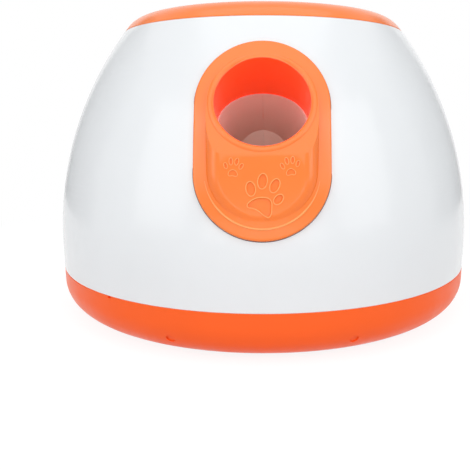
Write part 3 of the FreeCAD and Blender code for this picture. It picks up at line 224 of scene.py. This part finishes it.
# ---------------------------------------------------------------------- materials
MOUTH = (-0.136, 0.1518)         # centre of the outlet's rim, Y and Z
SLOPE = math.radians(28.0)       # the barrel falls towards the back
SLEEVE_R = 0.027
SEAT = 0.0003                    # the sleeve's painted deeper colour and painted glow reach this far into its wall
WHITE = (0.785, 0.803, 0.818)
LIGHT_ORANGE = (0.945, 0.195, 0.014)
DEEP_ORANGE = (0.985, 0.128, 0.020)
# painted shade and bounce light: the sleeve's deeper oranges stand for light reddened by bouncing in the
# orange tube
SLEEVE_PAINTED_ORANGES = (0.985, 0.100, 0.012), (0.99, 0.112, 0.016)
# painted glow: the sleeve gives off light, though it is no lamp
SLEEVE_PAINTED_GLOW, PAINTED_GLOW_COLOUR = 0.22, (1.0, 0.035, 0.008, 1.0)
HIGHLIGHT_ORANGE = (0.96, 0.36, 0.10)  # paler: a painted highlight on the prints' rims and on the line below the panel
CELL_TO, CELL_PITCH, SHOULDER = 0.0523, 0.0501, 0.27     # a row's end and pitch, share of a cell in copper
made = {}


def keep(shader):
    made[shader.slot] = shader.done()


def trim_orange():
    """Light orange. In the outlet's sleeve it turns deeper orange and glows: painted shade and painted
    reddened bounce light of the orange tube, and a painted glow.
    """
    s = moulded("trim_orange", LIGHT_ORANGE, 0.20, peel=5e-6, specular_ior_level=0.60)
    back, up = (s.calc("SUBTRACT", s.axis(name), at) for name, at in zip("YZ", MOUTH))
    over = s.calc("ADD", s.calc("MULTIPLY", back, math.sin(SLOPE)), s.calc("MULTIPLY", up, math.cos(SLOPE)))
    across = s.axis("X")
    squares = s.calc("MULTIPLY", over, over), s.calc("MULTIPLY", across, across)
    radius = s.calc("SQRT", s.calc("ADD", *squares))
    inside = s.calc("LESS_THAN", radius, SLEEVE_R + SEAT)
    drift = s.remap(s.noise(DRIFT, 3.0), 0.0, 1.0)
    # the sleeve is painted deeper orange: painted shade and bounce light
    s.paint(s.mix(inside, s.drifting(drift, 0.03), s.mix(drift, *SLEEVE_PAINTED_ORANGES)))
    # painted glow in the sleeve
    s.link(s.calc("MULTIPLY", inside, SLEEVE_PAINTED_GLOW), s.main.inputs["Emission Strength"])
    s.set("Emission Color", PAINTED_GLOW_COLOUR)
    return s


def rubber():
    s = moulded("rubber", (0.035, 0.035, 0.036), 0.72, grain=2.2e-5, vary=0.2)
    s.raise_by(s.cells(1400.0), 1.2e-5)
    return s


def motor_core():
    """Copper windings between the plates of the core."""
    s = metal("motor_core", (0.62, 0.30, 0.14), 0.38)
    plates = s.stripes(1900.0, "X")
    s.paint(s.mix(s.remap(plates, 0.0, 1.0), (0.44, 0.20, 0.09), (0.78, 0.40, 0.20)))
    s.raise_by(plates, 4e-5)
    return s


def cell_jacket():
    """Dark jackets with a copper shoulder at each cap's end, two cells to a row."""
    s = metal("cell_jacket", (0.05, 0.05, 0.055), 0.3)
    along = s.calc("FRACT", s.calc("DIVIDE", s.calc("SUBTRACT", CELL_TO, s.axis("X")), CELL_PITCH))
    stain = s.remap(s.noise(220.0, 4.0), 0.0, 1.0)
    dark = s.mix(stain, (0.035, 0.035, 0.04), (0.06, 0.06, 0.065))
    copper = s.mix(stain, (0.72, 0.38, 0.16), (0.84, 0.50, 0.24))
    s.paint(s.mix(s.calc("LESS_THAN", along, SHOULDER), dark, copper))
    return s


def board_green():
    s = moulded("board_green", (0.018, 0.135, 0.055), 0.32, 0.2, vary=0.06)
    tracks = s.node("ShaderNodeTexBrick", offset=0.37, squash=0.6, squash_frequency=3)
    for key, value in (("Color1", (0.012, 0.10, 0.040, 1.0)), ("Color2", (0.022, 0.17, 0.070, 1.0)),
                       ("Mortar", (0.045, 0.27, 0.12, 1.0)), ("Scale", 120.0), ("Mortar Size", 0.06),
                       ("Brick Width", 0.9), ("Row Height", 0.32)):
        tracks.inputs[key].default_value = value
    s.link(s.place, tracks.inputs["Vector"])
    s.paint(tracks.outputs["Color"])
    s.raise_by(tracks.outputs["Fac"], 3e-5)
    return s


def light_clear():
    s = Shader("light_clear", (0.93, 0.96, 0.97), 0.12, ior=1.58, transmission_weight=0.85)
    s.paint(s.mix(s.noise(300.0, 3.0), (0.86, 0.90, 0.92), (0.97, 0.99, 1.0)))
    s.roughen(s.noise(900.0, 3.0), 0.06, 0.2)
    return s


def paper_black():
    """The speaker's cone."""
    s = Shader("paper_black", (0.03, 0.03, 0.032), 0.9, sheen_weight=0.3)
    fibres = s.noise(1800.0, 5.0, (1.0, 3.0, 1.0), 0.7)
    s.paint(s.mix(fibres, (0.018, 0.018, 0.02), (0.06, 0.06, 0.062)))
    s.raise_by(fibres, 8e-5)
    return s


keep(moulded("shell_white", WHITE, 0.22, 0.25, peel=3e-6, vary=0.012, specular_ior_level=0.4))
keep(moulded("base_orange", DEEP_ORANGE, 0.34, peel=5e-6, specular_ior_level=0.16))
keep(moulded("barrel_white", (0.90, 0.77, 0.71), 0.42, vary=0.02, specular_ior_level=0.25))
keep(trim_orange())
# paler orange: painted highlight on the prints' rims and the panel's line
keep(moulded("trim_orange_highlight", HIGHLIGHT_ORANGE, 0.22, peel=3e-6, specular_ior_level=0.45))
keep(moulded("button_white", (0.86, 0.87, 0.885), 0.22, 0.25, vary=0.015))
keep(moulded("inner_plastic", (0.72, 0.72, 0.71), 0.5, grain=8e-6))
keep(moulded("slide_plastic", (0.045, 0.045, 0.05), 0.45, grain=6e-6, vary=0.12))
keep(moulded("gear_plastic", (0.83, 0.80, 0.70), 0.42, grain=4e-6, vary=0.05))
keep(moulded("black_plastic", (0.028, 0.028, 0.03), 0.4, grain=9e-6, vary=0.15))
keep(moulded("wire_red", (0.42, 0.018, 0.012), 0.42, grain=8e-6, vary=0.12))
keep(moulded("wire_grey", (0.07, 0.07, 0.078), 0.42, grain=8e-6, vary=0.12))
keep(rubber())
keep(metal("screw_steel", (0.66, 0.65, 0.62), 0.32, (1.0, 1.0, 3.0)))
keep(metal("spring_steel", (0.52, 0.52, 0.53), 0.30, (1.0, 4.0, 1.0), 2400.0))
keep(metal("contact_metal", (0.72, 0.70, 0.64), 0.26, (1.0, 1.0, 6.0), 900.0))
keep(metal("motor_steel", (0.60, 0.60, 0.59), 0.28, (9.0, 1.0, 1.0), 700.0, 3e-6))
keep(metal("brass", (0.80, 0.58, 0.24), 0.28, (6.0, 1.0, 1.0)))
keep(motor_core())
keep(cell_jacket())
keep(board_green())
keep(light_clear())
keep(paper_black())

# ---------------------------------------------------------------------- mesh tools
WELD = 2e-6            # vertices this close share their normals
SOFT_TO = 34.0         # degrees between two faces that are shaded as one surface
NO_LENGTH = 1e-20
TIP, TIP_SHARE = 0.15, 0.25      # a tapered line's end: how thick it is, and the share of the line it takes


def soften(piece):
    """Smooth shading with sharp edges kept: a corner's normal is the mean, by area, of its neighbours."""
    mesh = piece.data
    count = len(mesh.polygons)
    where = np.empty(len(mesh.vertices) * 3, np.float64)
    mesh.vertices.foreach_get("co", where)
    _, spot = np.unique(np.round(where.reshape(-1, 3) / WELD).astype(np.int64), axis=0, return_inverse=True)
    normal, area = np.empty(count * 3), np.empty(count)
    sides, corner_vertex = np.empty(count, np.int32), np.empty(len(mesh.loops), np.int32)
    mesh.polygons.foreach_get("normal", normal)
    mesh.polygons.foreach_get("area", area)
    mesh.polygons.foreach_get("loop_total", sides)
    mesh.loops.foreach_get("vertex_index", corner_vertex)
    normal = normal.reshape(-1, 3)
    face = np.repeat(np.arange(count), sides)
    group = spot.reshape(-1)[corner_vertex]
    # every pair (mine, other) of corners that meet at a spot
    order = np.argsort(group, kind="stable")
    _, first, size = np.unique(group[order], return_index=True, return_counts=True)
    per_corner = np.repeat(size, size)
    begin = np.repeat(first, size)
    mine = np.repeat(np.arange(len(order)), per_corner)
    step = np.arange(len(mine)) - np.repeat(np.cumsum(per_corner) - per_corner, per_corner)
    other = order[np.repeat(begin, per_corner) + step]
    mine = order[mine]
    near = (normal[face[mine]] * normal[face[other]]).sum(1) > math.cos(math.radians(SOFT_TO))
    weight = area[face[other]] * near
    total = np.zeros((len(order), 3))
    for k in range(3):
        total[:, k] = np.bincount(mine, weight * normal[face[other], k], len(order))
    length = np.linalg.norm(total, axis=1)
    lost = length < NO_LENGTH
    total[lost] = normal[face[lost]]
    length[lost] = 1.0
    mesh.polygons.foreach_set("use_smooth", np.ones(count, bool))
    mesh.normals_split_custom_set((total / length[:, None]).tolist())


def new_piece(name, build, body, slot, look=None):
    """Mesh piece in the part's frame, made by build(bmesh), that rides on a body. Its material is
    made[look], or made[slot] where look is not given."""
    mesh = bpy.data.meshes.new(name)
    bm = bmesh.new()
    build(bm)
    bmesh.ops.recalc_face_normals(bm, faces=bm.faces)
    bm.to_mesh(mesh)
    bm.free()
    piece = linked(bpy.data.objects.new(name, mesh))
    mesh.materials.append(made[look or slot])
    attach(piece, body)
    soften(piece)


def angles(count, start=0.0, end=360.0, closed=True):
    """Evenly spaced angles in radians, from start to end in degrees. A closed round leaves out the end."""
    step = (end - start) / (count if closed else count - 1)
    return [math.radians(start + step * k) for k in range(count)]


def line_of(points, radius, closed=True, sides=8, taper=False):
    """Builder of a round bead along the points. taper thins both ends of an open one."""
    def build(bm):
        pts = [Vector(p) for p in points]
        count = len(pts)
        facing = Vector((0, -1, 0.05)).normalized()      # no line runs this way
        rings = []
        for k, p in enumerate(pts):
            before = pts[k - 1] if k or closed else p
            after = pts[(k + 1) % count] if k < count - 1 or closed else p
            way = (after - before).normalized()
            side = way.cross(facing).normalized()
            up = side.cross(way).normalized()
            from_end = min(k, count - 1 - k) / (count - 1)
            thin = min(1.0, TIP + from_end / TIP_SHARE) if taper else 1.0
            rings.append([bm.verts.new(p + (side * math.cos(a) + up * math.sin(a)) * radius * thin)
                          for a in angles(sides)])
        for k in range(count if closed else count - 1):
            a, b = rings[k], rings[(k + 1) % count]
            for j in range(sides):
                bm.faces.new((a[j], a[(j + 1) % sides], b[(j + 1) % sides], b[j]))
        if not closed:
            bm.faces.new(rings[0])
            bm.faces.new(rings[-1])
    return build


def joined(builders):
    def build(bm):
        for one in builders:
            one(bm)
    return build


# ---------------------------------------------------------------------- the part's own nodes
for row in frame["record"]["subparts"]:
    node = frame["nodes"][row["node"]]
    node.data.materials.clear()
    node.data.materials.append(made[row["material_slot"]])
    soften(node)

# ---------------------------------------------------------------------- the part's surfaces
BEZEL_TILT, PANEL_TILT = math.radians(19.6), math.radians(8.0)
LIP_R, LIP_GAP = 0.0020, 0.0001      # the mouth's rounded lip, and its gap to the bore
PANEL_SUNK = 0.00003                 # the panel lies this far below the lip's crest
MOUTH_AT = Vector((0.0, *MOUTH))
ALONG = Vector((0, math.cos(SLOPE), -math.sin(SLOPE)))
OVER = Vector((0, math.sin(SLOPE), math.cos(SLOPE)))
OUT = Vector((0, -math.cos(BEZEL_TILT), math.sin(BEZEL_TILT)))
RISE = Vector((0, math.sin(BEZEL_TILT), math.cos(BEZEL_TILT)))
PANEL_N = Vector((0, -math.cos(PANEL_TILT), math.sin(PANEL_TILT)))
PANEL_UP = Vector((0, math.sin(PANEL_TILT), math.cos(PANEL_TILT)))
PANEL_O = MOUTH_AT + ALONG * LIP_R - OVER * (SLEEVE_R + LIP_R + LIP_GAP) + PANEL_N * (LIP_R - PANEL_SUNK)
DOME_ARC, DOME_CX, DOME_CZ = 0.246, -0.091, 0.0505       # radius and centre of the dome's outline, an arc
BEZEL_HALF, BEZEL_TOP, BEZEL_LOW = 0.0386, -0.0002, -0.0392    # half its width, centres of its round ends
FLANGE_UP = 0.0022                   # the bezel's flange stands this far off the dome
KEY_X, KEY_Z, KEY_FACE = 0.026, 0.092, 0.1527
KEY_DISH = 0.030                     # radius of a key's dished face
ROUND, SMALL_ROUND = 96, 24          # points around a large outline and around a toe
FITTED = 14                          # steps that bring a point onto the dome


def dome_r(z, off=0.0):
    """Outside radius of the dome at height z, off metres further out."""
    return DOME_CX + math.sqrt((DOME_ARC + off) ** 2 - (z - DOME_CZ) ** 2)


def on_dome(x, z, off=0.0):
    """Point on the dome's back, off metres out."""
    return (x, math.sqrt(dome_r(z, off) ** 2 - x * x), z)


def behind_bezel(x, upward, off=0.0):
    """Point on the dome, off metres out, straight behind the point (x, upward) of the bezel's plane."""
    start, w = MOUTH_AT + Vector((x, 0, 0)) + RISE * upward, 0.0
    for _ in range(FITTED):
        p = start + OUT * w
        w += dome_r(p.z, off) - math.hypot(p.x, p.y)
    return start + OUT * w


def on_panel(x, v):
    """Point on the outlet's flat panel, x and v in millimetres from the lip's lowest point."""
    return PANEL_O + Vector((x * 0.001, 0, 0)) + PANEL_UP * (v * 0.001)


def on_key(cx, x, z):
    """Point on the dished face of a key centred at cx."""
    return (cx + x, KEY_FACE + KEY_DISH - math.sqrt(KEY_DISH ** 2 - x * x - z * z), KEY_Z + z)


# ---------------------------------------------------------------------- paw prints' rims
# in the panel's millimetres: pads as corners that are rounded, toes as (x, v, wide, tall, lean in degrees)
PAD = [(-9.4, -31.0), (-5.6, -26.4), (0.2, -25.2), (5.2, -26.4), (5.4, -31.6), (4.6, -36.6), (1.6, -36.2),
       (-3.0, -31.6)]
TOES = ((-6.2, -20.9, 5.2, 8.0, -8), (0.2, -16.8, 5.2, 8.4, 8), (6.9, -19.2, 5.0, 8.0, 24),
        (8.9, -26.6, 4.4, 6.4, 40))
SMALL_PAD = [(-2.6, -3.4), (-1.0, -1.4), (1.0, -1.4), (2.8, -3.2), (2.2, -5.2), (0.2, -4.4), (-2.0, -5.2)]
SMALL_TOES = ((-4.2, 0.4, 1.9, 3.4, -24), (-1.6, 2.9, 2.0, 3.8, -8), (1.6, 3.1, 2.0, 3.8, 8),
              (4.2, 0.9, 1.9, 3.4, 24))
SMALL_PRINTS = ((-15.6, -9.2, 6), (15.2, -8.6, -6))      # centre and lean
LARGE_RIM, SMALL_RIM = 0.00034, 0.00024


def ellipse(x, v, wide, tall, lean):
    c, n = math.cos(math.radians(lean)), math.sin(math.radians(lean))
    out = []
    for a in angles(SMALL_ROUND):
        px, pv = wide / 2 * math.cos(a), tall / 2 * math.sin(a)
        out.append((x + px * c + pv * n, v - px * n + pv * c))
    return out


def smooth(points, cut=0.28):
    """Round a polygon's corners by cutting them twice."""
    for _ in range(2):
        points = [(a[0] + (b[0] - a[0]) * w, a[1] + (b[1] - a[1]) * w)
                  for a, b in zip(points, points[1:] + points[:1]) for w in (cut, 1 - cut)]
    return points


def small_print(cx, cv, lean):
    """Outlines of a small print, pad first."""
    c, n = math.cos(math.radians(lean)), math.sin(math.radians(lean))

    def placed(x, v):
        return cx + x * c + v * n, cv - x * n + v * c

    return [smooth([placed(x, v) for x, v in SMALL_PAD])] + [
        ellipse(*placed(x, v), wide, tall, toe_lean + lean) for x, v, wide, tall, toe_lean in SMALL_TOES]


def rims_of(outlines, radius):
    return [line_of([on_panel(x, v) for x, v in outline], radius) for outline in outlines]


large_print = [smooth(PAD)] + [ellipse(*toe) for toe in TOES]
small_prints = [outline for row in SMALL_PRINTS for outline in small_print(*row)]
paw_rims = joined(rims_of(large_print, LARGE_RIM) + rims_of(small_prints, SMALL_RIM))
# the rims are painted paler, a painted highlight
new_piece("paw_lines", paw_rims, "housing", "trim_orange", "trim_orange_highlight")

# ---------------------------------------------------------------------- outlet's fine lines
LINE_R, LINE_SPAN, LINE_THICK = 0.0322, 80.0, 0.0006     # pale raised line around the panel's lower end, a painted highlight along its edge
# dark line just outside the bezel's edge, on the dome: painted shade of the gap between bezel and dome
SHADE_LINE_GAP, SHADE_LINE_THICK = 0.0002, 0.00017
TUBE_R, TUBE_END, TUBE_LEAN, TUBE_THICK = 0.02645, 0.02690, 0.498, 0.00022    # barrel's edge in the sleeve, a ring in the shell's white: painted highlight along that edge

flange_points = [behind_bezel(LINE_R * math.sin(a), BEZEL_LOW - LINE_R * math.cos(a), FLANGE_UP)
                 for a in angles(41, -LINE_SPAN, LINE_SPAN, closed=False)]
panel_highlight_bead = line_of(flange_points, LINE_THICK, closed=False, taper=True)
# painted highlight below the panel
new_piece("panel_highlight_line", panel_highlight_bead, "housing", "trim_orange", "trim_orange_highlight")

shade_line_points = []
for a in angles(ROUND):
    x, u = (BEZEL_HALF + SHADE_LINE_GAP) * math.sin(a), (BEZEL_HALF + SHADE_LINE_GAP) * math.cos(a)
    shade_line_points.append(behind_bezel(x, u + (BEZEL_TOP if u > 0 else BEZEL_LOW)))
# painted shade around the bezel, a dark bead in rubber's colour
new_piece("bezel_shade_line", line_of(shade_line_points, SHADE_LINE_THICK, sides=6), "housing", "rubber")

highlight_points = []
for a in angles(ROUND):
    x, t = TUBE_R * math.sin(a), TUBE_R * math.cos(a)
    highlight_points.append(MOUTH_AT + Vector((x, 0, 0)) + ALONG * (TUBE_END + TUBE_LEAN * t) + OVER * t)
# painted highlight: a white ring at the barrel's edge
new_piece("barrel_edge_highlight", line_of(highlight_points, TUBE_THICK, sides=6), "housing", "shell_white")

# ---------------------------------------------------------------------- marks on the controls
PEN, BROAD_PEN, FINE_PEN = 0.00032, 0.00045, 0.0003      # half the width of a printed line
POWER_R, POWER_GAP = 0.0033, 38.0                        # ring, and half its opening at the top in degrees
POWER_BAR = (0.0006, 0.0024, 0.0044)
BAR_FOOT, BARS = -0.003, ((-0.003, 0.002), (0.0, 0.004), (0.003, 0.006))     # how far across, how tall
LAMP_X, LAMP_Z = (-0.009, 0.0, 0.009), 0.097
CONTROLS_UP = 0.0018                                     # the control panel stands this far off the dome
DOT_BELOW, DOT_PITCH, DOT_R = 0.0045, 0.0017, 0.0003
POLE_X, POLE_Z, POLE_ARM = 0.013, 0.047, 0.002

power_ring = [on_key(-KEY_X, POWER_R * math.sin(a), POWER_R * math.cos(a))
              for a in angles(29, POWER_GAP, 360.0 - POWER_GAP, closed=False)]
power_bar = [on_key(-KEY_X, 0.0, z) for z in POWER_BAR]
power_lines = [line_of(points, PEN, closed=False) for points in (power_ring, power_bar)]
new_piece("power_mark", joined(power_lines), "power_key", "black_plastic")

# seen from behind, so the bars rise towards -X
bars = [line_of([on_key(KEY_X, -x, BAR_FOOT + z) for z in (0.0, tall / 2, tall)], BROAD_PEN, closed=False)
        for x, tall in BARS]
new_piece("distance_mark", joined(bars), "distance_key", "black_plastic")

# three, two and one dots below the lamps
dots = []
for k, lamp_x in enumerate(LAMP_X):
    for j in range(3 - k):
        x, z = lamp_x + (j - (2 - k) / 2) * DOT_PITCH, LAMP_Z - DOT_BELOW
        dots.append(line_of([on_dome(x + DOT_R * math.cos(a), z + DOT_R * math.sin(a), CONTROLS_UP)
                             for a in angles(10)], PEN))
new_piece("lamp_marks", joined(dots), "housing", "black_plastic")

# plus and minus beside the socket
arms = (-POLE_ARM, 0.0, POLE_ARM)
plus_across = [on_dome(POLE_X + arm, POLE_Z) for arm in arms]
plus_upright = [on_dome(POLE_X, POLE_Z + arm) for arm in arms]
minus = [on_dome(-POLE_X + arm, POLE_Z) for arm in arms]
poles = [line_of(points, FINE_PEN, closed=False) for points in (plus_across, plus_upright, minus)]
new_piece("polarity_marks", joined(poles), "housing", "black_plastic")

# ---------------------------------------------------------------------- stage tools
PLAIN_WHITE = (1.0, 1.0, 1.0)


def grey(value):
    return (value, value, value)


def seen_directly(tree):
    """1 for a ray from the camera, a reflection or through glass, 0 for a ray that gathers light."""
    path = tree.nodes.new("ShaderNodeLightPath")
    total = path.outputs["Is Camera Ray"]
    for key in ("Is Glossy Ray", "Is Transmission Ray"):
        either = tree.nodes.new("ShaderNodeMath")
        either.operation = "MAXIMUM"
        tree.links.new(total, either.inputs[0])
        tree.links.new(path.outputs[key], either.inputs[1])
        total = either.outputs[0]
    return total


def mixed(tree, factor, a, b):
    """Shader a where factor is 0, shader b where it is 1."""
    mixer = tree.nodes.new("ShaderNodeMixShader")
    for k, source in enumerate((factor, a, b)):
        tree.links.new(source, mixer.inputs[k])
    return mixer.outputs[0]


def plain(tree, kind, colour, strength=None):
    """One plain diffuse, emission or background shader."""
    added = tree.nodes.new(kind)
    added.inputs["Color"].default_value = (*colour, 1.0)
    if strength is not None:
        added.inputs["Strength"].default_value = strength
    return added.outputs[0]


def ends_in(tree, source, output):
    tree.links.new(source, tree.nodes.new(output).inputs["Surface"])


def bare_material(name):
    """Material without nodes."""
    material = bpy.data.materials.new(name)
    material.use_nodes = True
    material.node_tree.nodes.clear()
    return material


def sheet(name, corners, material):
    mesh = bpy.data.meshes.new(name)
    mesh.from_pydata(corners, [], [(0, 1, 2, 3)])
    mesh.materials.append(material)
    return linked(bpy.data.objects.new(name, mesh))


# ---------------------------------------------------------------------- floor and world
FLOOR_HALF = 4.0
SHADOW_TO, PLAIN_FROM = 0.22, 0.45       # metres from the part's axis, the shadow fades out in between
SHADOW_SHARE, PAPER_GLOW = 0.20, 0.88    # the paper as it is seen near the part
PAPER_GREY = 0.74                        # the paper as it lights the part
SKY_TINT, SKY_LIGHT = (0.97, 0.985, 1.0), 0.42

floor_paper = bare_material("floor")
tree = floor_paper.node_tree
shadowed = tree.nodes.new("ShaderNodeAddShader")
tree.links.new(plain(tree, "ShaderNodeBsdfDiffuse", grey(SHADOW_SHARE)), shadowed.inputs[0])
tree.links.new(plain(tree, "ShaderNodeEmission", PLAIN_WHITE, PAPER_GLOW), shadowed.inputs[1])
reach = tree.nodes.new("ShaderNodeVectorMath")
reach.operation = "LENGTH"
tree.links.new(tree.nodes.new("ShaderNodeNewGeometry").outputs["Position"], reach.inputs[0])
away = tree.nodes.new("ShaderNodeMapRange")
away.inputs["From Min"].default_value, away.inputs["From Max"].default_value = SHADOW_TO, PLAIN_FROM
tree.links.new(reach.outputs["Value"], away.inputs["Value"])
seen_paper = mixed(tree, away.outputs["Result"], shadowed.outputs[0],
                   plain(tree, "ShaderNodeEmission", PLAIN_WHITE, 1.0))
lighting_paper = plain(tree, "ShaderNodeBsdfDiffuse", grey(PAPER_GREY))
ends_in(tree, mixed(tree, seen_directly(tree), lighting_paper, seen_paper), "ShaderNodeOutputMaterial")
corners = [(x * FLOOR_HALF, y * FLOOR_HALF, 0.0) for x, y in ((-1, -1), (1, -1), (1, 1), (-1, 1))]
floor = sheet("floor", corners, floor_paper)

world = bpy.data.worlds.new("world")
bpy.context.scene.world = world
world.use_nodes = True
tree = world.node_tree
tree.nodes.clear()
lighting_sky = plain(tree, "ShaderNodeBackground", SKY_TINT, SKY_LIGHT)
seen_sky = plain(tree, "ShaderNodeBackground", PLAIN_WHITE, 1.0)
ends_in(tree, mixed(tree, seen_directly(tree), lighting_sky, seen_sky), "ShaderNodeOutputWorld")

# ---------------------------------------------------------------------- light
FRONT, SIDE, LOW, TOP = 1.02, 1.45, 1.45, 0.9     # radiance of the lamps
MIDDLE = (0.0, 0.0, 0.10)


def softbox(name, at, target, wide, tall, radiance, tint=PLAIN_WHITE):
    """Rectangular lamp that looks as bright from every distance, whatever its size."""
    light = bpy.data.lights.new(name, "AREA")
    light.shape = "RECTANGLE"
    light.size, light.size_y = wide, tall
    light.energy = radiance * math.pi * wide * tall
    light.color = tint
    box = linked(bpy.data.objects.new(name, light))
    box.location = at
    box.rotation_euler = (Vector(at) - Vector(target)).to_track_quat("Z", "Y").to_euler()


softbox("softbox_front", (0.0, -1.05, 1.0), (0.0, -0.1, 0.15), 2.2, 1.2, FRONT, (0.985, 0.993, 1.0))
for name, way in (("left", -1), ("right", 1)):
    softbox("softbox_" + name, (way * 1.14, -0.86, 0.62), MIDDLE, 0.8, 1.1, SIDE)
softbox("softbox_low", (0.0, -1.5, 0.12), MIDDLE, 1.8, 0.2, LOW)
softbox("softbox_top", (0.0, -0.2, 1.6), MIDDLE, 1.6, 1.0, TOP)

# grey flags, one each side and unseen by the camera, so that the white dome has an edge against white paper
FLAG_GREY = 0.60
FLAG_BACK, FLAG_FRONT, FLAG_TALL = (0.62, 0.75), (1.0, 0.10), 0.9

flag_paper = bare_material("flag")
tree = flag_paper.node_tree
ends_in(tree, plain(tree, "ShaderNodeBsdfDiffuse", grey(FLAG_GREY)), "ShaderNodeOutputMaterial")
for name, way in (("left", -1), ("right", 1)):
    foot = [(way * x, y, 0.0) for x, y in (FLAG_BACK, FLAG_FRONT)]
    head = [(x, y, FLAG_TALL) for x, y, _ in reversed(foot)]
    flag = sheet("flag_" + name, foot + head, flag_paper)
    flag.visible_camera = False
